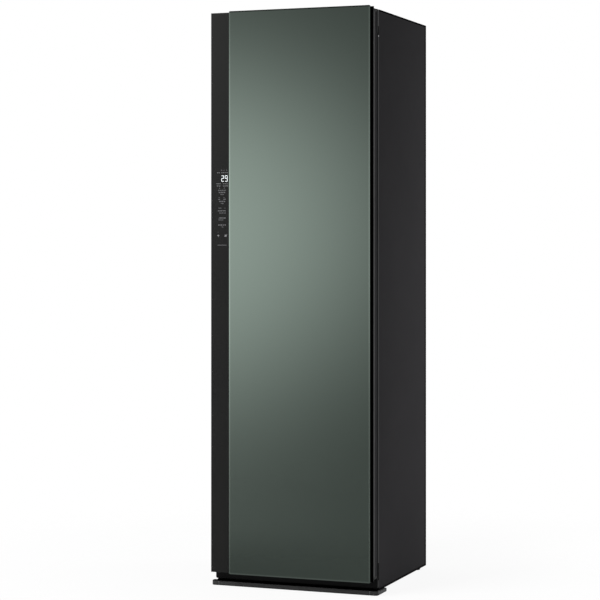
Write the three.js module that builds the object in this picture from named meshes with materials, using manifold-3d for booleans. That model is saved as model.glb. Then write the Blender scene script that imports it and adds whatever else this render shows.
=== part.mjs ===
// A clothes care steam cabinet: a tall wardrobe with a mirror door, a garment chamber above and a
// machine room with two water tanks below. Millimetres, +Z up, X to the right, Y to the rear.
// The origin lies on the floor, under the middle of the cabinet.
import * as THREE from "three";
import { mergeVertices } from "three/addons/utils/BufferGeometryUtils.js";
import Module from "manifold-3d";

const wasm = await Module();
wasm.setup();

// Overall size
const totalHeight = 1960;
const totalDepth = 606;
const bodyWidth = 586;

// Clearances shared by the whole cabinet
const gap = 0.3;
const runGap = 1.5;
const cutOver = 2;

// Casing
const sheet = 1.2;
const flangeWidth = 16;
const bendRadius = 2.4;
const bodyTopDrop = 8;
const bodyBottom = 12;
const frameBottomRise = 8;
const frameDepth = 14;
const frameCornerRadius = 5;
const frameChamfer = 4;
const frameChamferLow = 110;
const frameChamferHigh = 1870;
const topSkirt = 10;
const panFlange = 24;

// Door, counted from the glass back to the gasket
const glassProud = 9;
const glassThickness = 6;
const glassBevel = 1.2;
const glassCorner = 5;
const glassBottom = 46;
const glassInset = 6;
const stripWidth = 69.7;
const stripThickness = 4;
const stripEdgeRadius = 2.5;
const rightMargin = 9.2;
const doorTopDrop = 3.5;
const doorBottom = 48;
const doorDepth = 36;
const doorFlange = 14;
const doorLiner = 2.5;
const doorCap = 16;
const capWall = 3;
const capPocketDepth = 10;
const gasketGap = 9;
const gasketWidth = 13;
const gasketInset = 15;
const gasketLow = 66;
const gasketTopDrop = 14;
const gasketLip = 3;
const plugWall = 18;
const plugReach = 16;
const plugClear = 17;
const displayLow = 1150;
const displayHigh = 1425;
const displayWidth = 54;
const boardThickness = 1.6;
const ledThickness = 1.5;

// Door hinges
const hingeInset = 12;
const hingeBack = 17;
const pinRadius = 5;
const armHalf = 8;
const armThickness = 3;
const legHeight = 76;
const legWidth = 14;
const notchDepth = 9.5;
const collarRadius = 7.5;
const pinLength = 15;

// Floor plinth
const plinthOverhang = 7;
const plinthHeight = 15.5;
const plinthReach = 24;
const plinthDepth = 97;
const plinthCap = 28;
const plinthCorner = 12;
const plinthGroove = 1.2;

// Levelling feet
const footInset = 31;
const footPadRadius = 18;
const footPadHeight = 7;
const footHexRadius = 9;
const footHexHeight = 4;
const footStudRadius = 5;
const footStudTop = 34;
const footFrontRoom = 99;
const footRearFront = 38;
const bossWall = 6;
const bossHeight = 20;

// Garment chamber
const chamberFloor = 421;
const chamberTopRoom = 70;
const linerWall = 3;
const wallRoom = 31;
const rearRoom = 35;
const linerCorner = 14;
const ledgeRise = 142;
const ledgeThickness = 8;
const ledgeReach = 7;
const ledgeFront = 30;
const fluteWidth = 7;
const fluteDepth = 3;
const fluteCount = 7;
const fluteEnd = 90;

// Shelf
const shelfThickness = 12;
const shelfFrontRoom = 66;
const shelfRim = 16;
const shelfBar = 7;
const shelfSlots = 8;

// Garment shaker
const crankRadius = 17.3;
const crankTurn = Math.PI / 3;
const crankDiscRadius = 28;
const crankDiscThickness = 8;
const crankPinRadius = 5;
const crankPinLength = 14;
const crankShaftRadius = 6;
const slotClear = 1.6;
const barSideRoom = 39;
const barWidth = 24;
const barHeight = 18;
const barDrop = 64;
const barClear = 0.6;
const yokeHeight = 8;
const yokeWall = 9;
const notchWidth = 9;
const notchCut = 6;
const notchCount = 3;
const notchPitch = 30;
const notchStart = 62;
const guideSideRoom = 74;
const guideLength = 22;
const guideWall = 6;
const guideFoot = 14;
const guideFootThickness = 5;
const ceilingSlotWidth = 120;
const ceilingSlotDepth = 84;
const drivePlateMargin = 14;
const drivePlateThickness = 3;
const driveCollar = 8;
const motorRadius = 31;
const motorHeight = 42;
const motorBore = 14;
const motorRib = 2.5;

// Chamber light
const lightLength = 150;
const lightWidth = 22;
const lightThickness = 7;
const lightFrontRoom = 60;

// Trouser press on the door
const pressHalf = 150;
const pressLow = 762;
const pressHigh = 1460;
const pressBackThickness = 12;
const pressPlateThickness = 13;
const pressCorner = 14;
const pressRodRadius = 3;
const pressRodOut = 12;
const pressBarrelWall = 3.7;
const pressEar = 12;
const pressRibs = 6;
const pressRibDepth = 2.5;
const pressRibHeight = 14;
const pressGrip = 60;
const pressGripDepth = 8;

// Tank bay and the two tanks
const baySideRoom = 7;
const bayLow = 90;
const bayHigh = 365;
const bayDepth = 150;
const bayWall = 3;
const bayCorner = 8;
const bayColumn = 104;
const runnerHeight = 3;
const runnerWidth = 8;
const runnerShares = [0.2, 0.8];
const tankClear = 1;
const tankSetBack = 17;
const tankHeight = 232;
const tankDepth = 122;
const tankWall = 2.6;
const tankCorner = 14;
const mouthRadius = 27;
const lidRadius = 32;
const lidThickness = 6;
const lidSkirt = 8;
const lidRimShare = 0.7;
const lidStepShare = 0.5;
const lidDishShare = 0.4;
const lidDishDepthShare = 0.8;
const gripWidth = 108;
const gripHeight = 42;
const gripDepth = 24;
const gripDrop = 34;
const spoutRadius = 7;
const spoutReach = 9;
const spoutRise = 26;

// Air path
const inletSideRoom = 10;
const inletDepth = 74;
const inletSetBack = 53;
const inletFlange = 8;
const inletFlangeThickness = 3;
const inletDrop = 40;
const grilleWall = 2.5;
const grilleRestShares = [0.25, 0.75];
const filterWall = 4;
const filterHeight = 34;
const filterSlats = 8;
const filterSlatWidth = 2.4;
const filterPull = 44;
const filterPullHeight = 12;
const outletWidth = 112;
const outletDepth = 84;
const outletBack = 26;
const outletVanes = 5;
const outletVane = 3;
const ductLeftRoom = 9;
const ductRightRoom = 48;
const ductTop = 205;
const ductFrontRoom = 7;
const ductWall = 2.5;
const riserDepth = 80;
const hoodLap = 8;
const coilFins = 8;
const coilFin = 2;
const coilHeight = 150;
const coilDepth = 46;
const coilTube = 4.5;
const coilTubes = 2;
const coilSideRoom = 14;
const coilFrontRoom = 32;
const coilSpace = 26;
const fanRearRoom = 115;
const fanZ = 306;
const fanWidth = 84;
const fanInner = 68;
const fanGrow = 26;
const fanWall = 2.5;
const fanEye = 42;
const impellerRadius = 60;
const impellerWidth = 62;
const impellerHub = 17;
const impellerRing = 5;
const impellerBlades = 14;
const bladeThickness = 2.2;
const bladeInner = 44;
const fanShaft = 4;
const fanMotorRadius = 34;
const fanMotorLength = 58;
const fanMotorBore = 20;
const fanMotorSlot = 3;
const fanMotorSlots = 6;
const fanMotorSlotShare = 0.6;

// Heat pump, steam and water
const compressorSideRoom = 115;
const compressorRearRoom = 94;
const compressorRadius = 58;
const compressorHeight = 196;
const compressorBase = 150;
const compressorBaseThickness = 5;
const compressorFoot = 12;
const compressorFootHeight = 18;
const compressorEndShare = 0.8;
const compressorDomeShare = 0.92;
const compressorCrownShare = 0.55;
const compressorFootInset = 14.4;
const steamSideRoom = 107;
const steamRadius = 44;
const steamLength = 150;
const steamRise = 12;
const steamSaddle = 16;
const steamSaddleShares = [0.2, 0.8];
const steamSaddleHalf = 30.8;
const steamSaddleDrop = 22;
const steamTerminalOffset = 17.6;
const steamStub = 9;
const steamStubHeight = 14;
const nozzleRoom = 15;
const nozzleRearRoom = 205;
const nozzleRadius = 20;
const nozzleHole = 12;
const nozzleHeight = 16;
const nozzleBore = 5;
const nozzleStem = 22;
const nozzlePort = 3;
const nozzlePorts = 4;
const nozzlePortHeight = 4.5;
const nozzleTopShare = 0.7;
const nozzleBoreShare = 0.7;
const hoseRadius = 7;
const hoseSides = 8;
const hoseSteps = 10;
const hoseStartShare = 0.12;
const hoseEndShare = 0.88;
const pumpSideRoom = 57;
const pumpFrontRoom = 139;
const pumpRadius = 24;
const pumpHeight = 60;
const pumpBase = 64;
const pumpBaseThickness = 6;
const pumpHeadRadius = 19.2;
const pumpHeadHeight = 18;
const pumpSpoutRadius = 6;
const scentSideRoom = 63;
const scentRearRoom = 115;
const scentRadius = 26;
const scentHole = 20;
const scentSkirt = 18;
const scentThickness = 6;
const scentRimShare = 0.6;
const scentTopShare = 0.9;
const scentGripShare = 0.6;
const scentGripHeight = 13.2;
const boxWidth = 230;
const boxDepth = 130;
const boxHeight = 40;
const boxRib = 3;
const boxRibs = 9;
const boxBack = 8;

// Rear side
const coverSideRoom = 58;
const coverLow = 58;
const coverHigh = 372;
const coverLap = 14;
const louvreCount = 7;
const louvreEdge = 50;
const louvreMiddle = 35;
const louvreHeight = 7;
const louvrePitch = 26;
const glandSideRoom = 31;
const glandZ = 120;
const glandRadius = 9;
const glandHead = 13;
const glandReach = 14;

// Facets of round shapes
const roundSteps = 24;
const midSteps = 16;
const smallSteps = 12;
const cornerSteps = 2;
const slotSteps = 1;
const tubeSteps = 8;
const coilSides = 6;

// Places that follow from the sizes above
const bodyHalf = bodyWidth / 2;
const rearY = totalDepth / 2;
const glassY = -totalDepth / 2;
const stripY = glassY + glassProud;
const doorBackY = stripY + doorDepth;
const frameY = doorBackY + gasketGap;
const panelY = frameY + frameDepth;
const bodyTop = totalHeight - bodyTopDrop;
const doorTop = totalHeight - doorTopDrop;
const frameBottom = bodyBottom + frameBottomRise;
const coverY = rearY - sheet;
const rearPanelY = coverY - gap - sheet;
const sideRearY = rearPanelY - gap;
const panTop = bodyBottom + gap + sheet;
const panFloor = panTop + gap;
const linerHalf = bodyHalf - wallRoom;
const linerRearY = rearY - rearRoom;
const linerBottom = chamberFloor - linerWall;
const linerTop = bodyTop - chamberTopRoom + linerWall;
const chamberCeiling = linerTop - linerWall;
const chamberHalf = linerHalf - linerWall;
const chamberRearY = linerRearY - linerWall;
const stripRight = -bodyHalf + stripWidth;
const glassLeft = stripRight + gap * 2;
const glassRight = bodyHalf - rightMargin;
const bayHalf = linerHalf - baySideRoom;
const bayRearY = frameY + bayDepth;
const coverWidth = bodyWidth - 2 * coverSideRoom;
const louvreWidth = coverWidth / 2 - louvreEdge - louvreMiddle;
const louvreX = louvreMiddle + louvreWidth / 2;
const glandX = bodyHalf - glandSideRoom;
const compressorX = bodyHalf - compressorSideRoom;
const compressorY = linerRearY - compressorRearRoom;
const steamX = bodyHalf - steamSideRoom;
const steamY = (bayRearY + compressorY - compressorBase / 2) / 2;
const pumpX = pumpSideRoom - bodyHalf;
const pumpY = bayRearY + pumpFrontRoom;
const ductLeft = pumpX + pumpBase / 2 + ductLeftRoom;
const ductRight = compressorX - compressorBase / 2 - ductRightRoom;
const ductX = (ductLeft + ductRight) / 2;
const ductHalf = (ductRight - ductLeft) / 2;
const ductFrontY = bayRearY + ductFrontRoom;
const riserRearY = ductFrontY + riserDepth;
const evaporatorY = riserRearY + coilFrontRoom;
const condenserY = evaporatorY + coilDepth + coilSpace;
const fanY = chamberRearY - fanRearRoom;
const inletWidth = 2 * (ductHalf - inletSideRoom);
const inletY = frameY + inletSetBack;
const nozzleX = ductRight + nozzleRoom;
const nozzleY = chamberRearY - nozzleRearRoom;
const scentX = chamberHalf - scentSideRoom;
const scentY = chamberRearY - scentRearRoom;
const shakerY = (frameY + chamberRearY) / 2;
const barLength = 2 * (chamberHalf - barSideRoom);
const guideSpan = chamberHalf - guideSideRoom;
const hingeX = bodyHalf - hingeInset;
const hingeY = doorBackY - hingeBack;
const doorLinerY = doorBackY + gap;
const doorSkinY = doorLinerY + doorLiner;

// A closed three.js geometry as a solid that can be joined and cut.
function solid(geometry) {
  if (geometry instanceof wasm.Manifold) {
    return geometry;
  }
  const bare = geometry.clone();
  for (const name of Object.keys(bare.attributes)) {
    if (name !== "position") {
      bare.deleteAttribute(name);
    }
  }
  const merged = mergeVertices(bare, cutOver / 10000);
  return new wasm.Manifold(new wasm.Mesh({
    numProp: 3,
    vertProperties: new Float32Array(merged.attributes.position.array),
    triVerts: new Uint32Array(merged.index.array),
  }));
}

// A solid back as a geometry with flat shaded faces.
function geometryOf(shape) {
  if (!(shape instanceof wasm.Manifold)) {
    return shape;
  }
  const mesh = shape.getMesh();
  const geometry = new THREE.BufferGeometry();
  geometry.setAttribute("position", new THREE.BufferAttribute(new Float32Array(mesh.vertProperties), 3));
  geometry.setIndex(new THREE.BufferAttribute(new Uint32Array(mesh.triVerts), 1));
  const flat = geometry.toNonIndexed();
  flat.computeVertexNormals();
  return flat;
}

function join(...pieces) {
  return pieces.map(solid).reduce((sum, piece) => sum.add(piece));
}

function cut(base, ...tools) {
  return tools.flat().map(solid).reduce((rest, tool) => rest.subtract(tool), solid(base));
}

// A box between two corners.
function box(x0, x1, y0, y1, z0, z1) {
  const geometry = new THREE.BoxGeometry(x1 - x0, y1 - y0, z1 - z0);
  return geometry.translate((x0 + x1) / 2, (y0 + y1) / 2, (z0 + z1) / 2);
}

// Outlines drawn in two coordinates.
function chamferedRectangle(a0, a1, b0, b1, c) {
  return polygon([
    [a0 + c, b0],
    [a1 - c, b0],
    [a1, b0 + c],
    [a1, b1 - c],
    [a1 - c, b1],
    [a0 + c, b1],
    [a0, b1 - c],
    [a0, b0 + c],
  ]);
}

function roundedRectangle(a0, a1, b0, b1, r) {
  const shape = new THREE.Shape();
  shape.moveTo(a0 + r, b0);
  shape.lineTo(a1 - r, b0);
  shape.absarc(a1 - r, b0 + r, r, -Math.PI / 2, 0, false);
  shape.lineTo(a1, b1 - r);
  shape.absarc(a1 - r, b1 - r, r, 0, Math.PI / 2, false);
  shape.lineTo(a0 + r, b1);
  shape.absarc(a0 + r, b1 - r, r, Math.PI / 2, Math.PI, false);
  shape.lineTo(a0, b0 + r);
  shape.absarc(a0 + r, b0 + r, r, Math.PI, Math.PI * 1.5, false);
  return shape;
}

function polygon(points) {
  const shape = new THREE.Shape();
  shape.moveTo(...points[0]);
  points.slice(1).forEach((point) => shape.lineTo(...point));
  shape.closePath();
  return shape;
}

// The outline of folded sheet: a polyline of sharp bends given a constant thickness on its left.
function foldedSheet(path, thickness) {
  const offset = path.map((point, i) => {
    const before = path[Math.max(i - 1, 0)];
    const after = path[Math.min(i + 1, path.length - 1)];
    const start = i > 0 ? direction(before, point) : direction(point, after);
    const end = i < path.length - 1 ? direction(point, after) : start;
    const nx = -(start[1] + end[1]);
    const ny = start[0] + end[0];
    const scale = (2 * thickness) / (nx * nx + ny * ny);
    return [point[0] + nx * scale, point[1] + ny * scale];
  });
  return polygon([...path, ...offset.reverse()]);
}

function direction(from, to) {
  const length = Math.hypot(to[0] - from[0], to[1] - from[1]);
  return [(to[0] - from[0]) / length, (to[1] - from[1]) / length];
}

// Prisms of an outline along each axis. Along Y the outline is read as (x, z), along X as (y, z).
function alongZ(shape, z0, z1, steps = cornerSteps) {
  const geometry = new THREE.ExtrudeGeometry(shape, {
    depth: z1 - z0,
    bevelEnabled: false,
    curveSegments: steps,
  });
  return geometry.translate(0, 0, z0);
}

function alongY(shape, y0, y1, steps = cornerSteps) {
  return alongZ(shape, 0, y1 - y0, steps).rotateX(Math.PI / 2).translate(0, y1, 0);
}

function alongX(shape, x0, x1, steps = cornerSteps) {
  const turn = new THREE.Matrix4().set(0, 0, 1, 0, 1, 0, 0, 0, 0, 1, 0, 0, 0, 0, 0, 1);
  return alongZ(shape, x0, x1, steps).applyMatrix4(turn);
}

// Round bars along each axis.
function roundZ(r, x, y, z0, z1, steps = smallSteps) {
  const geometry = new THREE.CylinderGeometry(r, r, z1 - z0, steps);
  return geometry.rotateX(Math.PI / 2).translate(x, y, (z0 + z1) / 2);
}

function roundY(r, x, z, y0, y1, steps = smallSteps) {
  const geometry = new THREE.CylinderGeometry(r, r, y1 - y0, steps);
  return geometry.translate(x, (y0 + y1) / 2, z);
}

function roundX(r, y, z, x0, x1, steps = smallSteps) {
  const geometry = new THREE.CylinderGeometry(r, r, x1 - x0, steps);
  return geometry.rotateZ(Math.PI / 2).translate((x0 + x1) / 2, y, z);
}

// A turned piece about a vertical axis, from a profile of (radius, height) that ends on the axis.
function turned(profile, x, y, z, steps = midSteps) {
  const points = profile.map(([r, h]) => new THREE.Vector2(r, h));
  return new THREE.LatheGeometry(points, steps).rotateX(Math.PI / 2).translate(x, y, z);
}

const cabinet = new THREE.Group();
cabinet.name = "clothes_care_steam_cabinet";

function addPart(name, shape, material) {
  const mesh = new THREE.Mesh(geometryOf(shape), material);
  mesh.name = name;
  cabinet.add(mesh);
}

function finish(color, roughness, metalness = 0) {
  return () => new THREE.MeshStandardMaterial({ color, roughness, metalness });
}

const graphiteSteel = finish(0x2b2a2c, 0.55, 0.3);
const darkPlastic = finish(0x242627, 0.6);
const greyPlastic = finish(0x4b4c4d, 0.5);
const palePlastic = finish(0xb9bcbd, 0.55);
const whitePlastic = finish(0xdddfe0, 0.5);
const smokedClear = finish(0x6f8791, 0.15);
const mirrorTint = finish(0x7b8a84, 0.08, 0.9);
const brightSteel = finish(0xb5b8ba, 0.35, 0.9);
const softRubber = finish(0x151617, 0.85);
const foamWhite = finish(0xd8d6cd, 0.95);
const boardGreen = finish(0x1e4a33, 0.6);
const galvanised = finish(0x9a9ea0, 0.5, 0.7);

// Casing: folded side panels, a cap on top, a rear panel with its cover, and the base pan.
function addCasing() {
  for (const [name, side] of [["left_side_panel", -1], ["right_side_panel", 1]]) {
    const path = [
      [side * (bodyHalf - flangeWidth), panelY],
      [side * (bodyHalf - bendRadius), panelY],
      [side * bodyHalf, panelY + bendRadius],
      [side * bodyHalf, sideRearY - bendRadius],
      [side * (bodyHalf - bendRadius), sideRearY],
      [side * (bodyHalf - flangeWidth), sideRearY],
    ];
    const outline = foldedSheet(side > 0 ? path : path.reverse(), sheet);
    addPart(name, alongZ(outline, bodyBottom, bodyTop - sheet - gap), graphiteSteel());
  }

  const skirtHalf = bodyHalf - flangeWidth - gap;
  const cap = join(
    alongZ(roundedRectangle(-bodyHalf, bodyHalf, panelY, sideRearY, bendRadius), bodyTop - sheet, bodyTop),
    box(-skirtHalf, skirtHalf, panelY, panelY + sheet, bodyTop - topSkirt, bodyTop - sheet),
    box(-skirtHalf, skirtHalf, sideRearY - sheet, sideRearY, bodyTop - topSkirt, bodyTop - sheet),
  );
  addPart("top_panel", cap, graphiteSteel());

  const rearHalf = bodyHalf - bendRadius;
  const opening = roundedRectangle(
    -coverWidth / 2 + coverLap, coverWidth / 2 - coverLap, coverLow + coverLap, coverHigh - coverLap,
    linerCorner,
  );
  const rear = cut(
    box(-rearHalf, rearHalf, rearPanelY, rearPanelY + sheet, frameBottom, bodyTop - sheet - gap),
    alongY(opening, rearPanelY - cutOver, coverY),
    glandCut(),
  );
  addPart("rear_panel", rear, galvanised());

  const cover = roundedRectangle(-coverWidth / 2, coverWidth / 2, coverLow, coverHigh, linerCorner);
  const louvreLow = (coverLow + coverHigh - (louvreCount - 1) * louvrePitch) / 2;
  const louvres = [];
  for (let row = 0; row < louvreCount; row += 1) {
    for (const side of [-1, 1]) {
      const z = louvreLow + row * louvrePitch;
      const x = side * louvreX;
      const slot = chamferedRectangle(
        x - louvreWidth / 2, x + louvreWidth / 2, z - louvreHeight / 2, z + louvreHeight / 2,
        louvreHeight / 3,
      );
      louvres.push(alongY(slot, coverY - cutOver, rearY + cutOver));
    }
  }
  addPart("rear_access_cover", cut(alongY(cover, coverY, rearY), louvres), galvanised());

  const panHalf = bodyHalf - sheet - gap;
  const panFront = panelY + bendRadius + sheet;
  const panRear = sideRearY - bendRadius - sheet;
  const panBase = bodyBottom + gap;
  const panHigh = panBase + panFlange;
  const tray = cut(
    box(-panHalf, panHalf, panFront, panRear, panBase, panHigh),
    box(
      -panHalf + sheet, panHalf - sheet, panFront + sheet, panRear - sheet,
      panBase + sheet, panHigh + cutOver,
    ),
  );
  const bore = footStudRadius + gap;
  const bossTop = panBase + bossHeight;
  const bosses = feet().map(([, x, y]) => roundZ(bore + bossWall, x, y, panBase + sheet / 2, bossTop));
  const bores = feet().map(([, x, y]) => roundZ(bore, x, y, panBase - cutOver, bossTop + cutOver));
  addPart("base_pan", cut(join(tray, ...bosses), bores), galvanised());
}

// The round way of the mains cord through the rear panel.
function glandCut() {
  return roundY(glandRadius + gap, glandX, glandZ, rearPanelY - cutOver, rearY + cutOver, tubeSteps);
}

function addGland() {
  const gland = join(
    roundY(glandHead, glandX, glandZ, rearPanelY - gap - sheet, rearPanelY - gap, tubeSteps),
    roundY(glandRadius, glandX, glandZ, rearPanelY - glandReach, rearY - gap, tubeSteps),
  );
  const way = roundY(glandRadius / 2, glandX, glandZ, rearPanelY - glandReach - cutOver, rearY, tubeSteps);
  addPart("cord_gland", cut(gland, way), darkPlastic());
}

// Four levelling feet: their names and places.
function feet() {
  const x = bodyHalf - footInset;
  const front = frameY + footFrontRoom;
  const rear = rearY - footRearFront;
  return [
    ["foot_front_left", -x, front],
    ["foot_front_right", x, front],
    ["foot_rear_left", -x, rear],
    ["foot_rear_right", x, rear],
  ];
}

function addFeet() {
  for (const [name, x, y] of feet()) {
    const edge = footPadHeight / 4;
    const pad = turned([
      [0, 0],
      [footPadRadius - edge, 0],
      [footPadRadius, edge],
      [footPadRadius, footPadHeight / 2],
      [footHexRadius, footPadHeight],
      [0, footPadHeight],
    ], x, y, 0);
    const hex = roundZ(footHexRadius, x, y, footPadHeight / 2, footPadHeight + footHexHeight, 6);
    const stud = roundZ(footStudRadius, x, y, footPadHeight, footStudTop);
    addPart(name, join(pad, hex, stud), darkPlastic());
  }
}

// The floor plinth: a bar with a raised front lip and a separate rounded cap at each end.
function addPlinth() {
  const half = bodyHalf + plinthOverhang;
  const y0 = frameY - plinthReach;
  const y1 = y0 + plinthDepth;
  const lipY = frameY;
  const low = bodyBottom - gap;
  const outline = new THREE.Shape();
  outline.moveTo(-half, y1);
  outline.lineTo(-half, y0 + plinthCorner);
  outline.absarc(-half + plinthCorner, y0 + plinthCorner, plinthCorner, Math.PI, Math.PI * 1.5, false);
  outline.lineTo(half - plinthCorner, y0);
  outline.absarc(half - plinthCorner, y0 + plinthCorner, plinthCorner, -Math.PI / 2, 0, false);
  outline.lineTo(half, y1);
  outline.closePath();
  const step = box(-half - cutOver, half + cutOver, lipY, y1 + cutOver, low, plinthHeight + cutOver);
  const whole = cut(alongZ(outline, 0, plinthHeight), step);
  const seam = half - plinthCap;
  const outside = (a, b) => box(a, b, y0 - cutOver, y1 + cutOver, -cutOver, plinthHeight + cutOver);
  const groove = (a, b) => box(a, b, y0 - cutOver, y0 + plinthGroove, -cutOver, plinthHeight + cutOver);
  const end = half + cutOver;
  addPart("plinth_bar", cut(whole, outside(-end, -seam), outside(seam, end)), greyPlastic());
  addPart("plinth_cap_left", cut(
    whole, outside(-seam - gap, end), groove(-seam - plinthGroove, -seam),
  ), greyPlastic());
  addPart("plinth_cap_right", cut(
    whole, outside(-end, seam + gap), groove(seam, seam + plinthGroove),
  ), greyPlastic());
}

// The front frame: the ring that the door closes on, open at the chamber and at the tank bay.
function addFrontFrame() {
  const ring = alongY(
    roundedRectangle(-bodyHalf, bodyHalf, frameBottom, bodyTop, frameCornerRadius), frameY, panelY - gap,
  );
  const chamber = roundedRectangle(
    -linerHalf - gap, linerHalf + gap, linerBottom - gap, linerTop + gap, linerCorner + gap,
  );
  const bay = roundedRectangle(-bayHalf - gap, bayHalf + gap, bayLow - gap, bayHigh + gap, bayCorner + gap);
  const bevels = [-1, 1].map((side) => alongZ(polygon([
    [side * (bodyHalf - frameChamfer), frameY - cutOver],
    [side * (bodyHalf + cutOver), frameY - cutOver],
    [side * (bodyHalf + cutOver), frameY + frameChamfer + cutOver],
    [side * bodyHalf, frameY + frameChamfer],
    [side * (bodyHalf - frameChamfer), frameY],
  ]), frameChamferLow, frameChamferHigh));
  const frame = cut(
    ring,
    alongY(chamber, frameY - cutOver, panelY + cutOver),
    alongY(bay, frameY - cutOver, panelY + cutOver),
    bevels,
  );
  addPart("front_frame", frame, darkPlastic());
}

// The insulation: a jacket of foam on both sides and behind the chamber.
function addInsulation() {
  const outer = bodyHalf - sheet - gap;
  const inner = linerHalf + gap;
  const front = panelY + bendRadius + sheet;
  const back = sideRearY - bendRadius - sheet;
  const u = polygon([
    [-outer, front],
    [-inner, front],
    [-inner, linerRearY + gap],
    [inner, linerRearY + gap],
    [inner, front],
    [outer, front],
    [outer, back],
    [-outer, back],
  ]);
  addPart("insulation_jacket", alongZ(u, linerBottom, linerTop), foamWhite());
}

// The outline of the door seen from above: the left strip is stepped back for the control panel.
function doorOutline() {
  const step = stripY + stripThickness + gap;
  const front = stripY + gap;
  return polygon([
    [-bodyHalf, doorBackY],
    [-bodyHalf, step],
    [stripRight + gap, step],
    [stripRight + gap, front],
    [bodyHalf, front],
    [bodyHalf, doorBackY],
  ]);
}

function doorHingePlug(z0, z1) {
  return roundZ(pinRadius + gap, hingeX, hingeY, z0, z1);
}

// The corner of a door cap that the hinge arm sweeps through.
function hingeNotch(z0, z1) {
  return box(
    hingeX - armHalf - gap * 2, bodyHalf + cutOver,
    hingeY - armHalf - gap - bendRadius * 2, doorBackY + cutOver, z0, z1,
  );
}

function addDoorShell() {
  const step = stripY + stripThickness + gap;
  const front = stripY + gap;
  const bend = bendRadius / 2;
  const profile = foldedSheet([
    [-bodyHalf + doorFlange, doorBackY],
    [-bodyHalf + bend, doorBackY],
    [-bodyHalf, doorBackY - bend],
    [-bodyHalf, step],
    [stripRight + gap, step],
    [stripRight + gap, front],
    [bodyHalf - bend, front],
    [bodyHalf, front + bend],
    [bodyHalf, doorBackY - bend],
    [bodyHalf - bend, doorBackY],
    [bodyHalf - doorFlange, doorBackY],
  ], sheet);
  const low = doorBottom + doorCap + gap;
  const high = doorTop - doorCap - gap;
  const middle = -bodyHalf + stripWidth / 2;
  const window = box(
    middle - displayWidth / 3, middle + displayWidth / 3, step - cutOver, step + sheet + cutOver,
    displayLow + displayWidth / 3, displayHigh - displayWidth / 3,
  );
  addPart("door_shell", cut(alongZ(profile, low, high), window), graphiteSteel());

  const topLow = doorTop - doorCap;
  const pocket = (z0, z1) => box(
    -bodyHalf + capWall, hingeX - armHalf - capWall * 3, step + capWall, doorBackY - capWall, z0, z1,
  );
  const topCap = cut(
    alongZ(doorOutline(), topLow, doorTop),
    pocket(topLow - cutOver, topLow + capPocketDepth),
    hingeNotch(doorTop - notchDepth, doorTop + cutOver),
    doorHingePlug(topLow - cutOver, doorTop + cutOver),
  );
  addPart("door_cap_top", topCap, darkPlastic());
  const lowTop = doorBottom + doorCap;
  const lowCap = cut(
    alongZ(doorOutline(), doorBottom, lowTop),
    pocket(lowTop - capPocketDepth, lowTop + cutOver),
    hingeNotch(doorBottom - cutOver, doorBottom + notchDepth),
    doorHingePlug(doorBottom - cutOver, lowTop + cutOver),
  );
  addPart("door_cap_bottom", lowCap, darkPlastic());

  const board = box(
    middle - displayWidth / 2, middle + displayWidth / 2,
    step + sheet + gap, step + sheet + gap + boardThickness, displayLow, displayHigh,
  );
  const leds = box(
    middle - displayWidth / 3 + gap, middle + displayWidth / 3 - gap,
    step + sheet + gap - ledThickness, step + sheet + gap,
    displayLow + displayWidth / 3 + gap, displayHigh - displayWidth / 3 - gap,
  );
  addPart("display_board", join(board, leds), boardGreen());
}

function addDoorFront() {
  const r = stripEdgeRadius;
  const shape = new THREE.Shape();
  shape.moveTo(-bodyHalf, stripY + stripThickness);
  shape.lineTo(-bodyHalf, stripY + r);
  shape.absarc(-bodyHalf + r, stripY + r, r, Math.PI, Math.PI * 1.5, false);
  shape.lineTo(stripRight, stripY);
  shape.lineTo(stripRight, stripY + stripThickness);
  shape.closePath();
  addPart("control_panel", alongZ(shape, doorBottom, doorTop), darkPlastic());

  const carrierY = glassY + glassThickness + gap;
  const carrier = roundedRectangle(
    glassLeft + glassInset, glassRight - glassInset, glassBottom + glassInset, totalHeight - glassInset,
    glassCorner,
  );
  addPart("glass_carrier", alongY(carrier, carrierY, stripY), darkPlastic());

  const b = glassBevel;
  const pane = roundedRectangle(glassLeft, glassRight, glassBottom, totalHeight, glassCorner);
  const glass = new THREE.ExtrudeGeometry(pane, {
    depth: glassThickness - 2 * b,
    bevelEnabled: true,
    bevelThickness: b,
    bevelSize: b,
    bevelOffset: -b,
    bevelSegments: 1,
    curveSegments: cornerSteps,
  });
  glass.rotateX(Math.PI / 2).translate(0, glassY + glassThickness - b, 0);
  addPart("mirror_glass", glass, mirrorTint());
}

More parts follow.
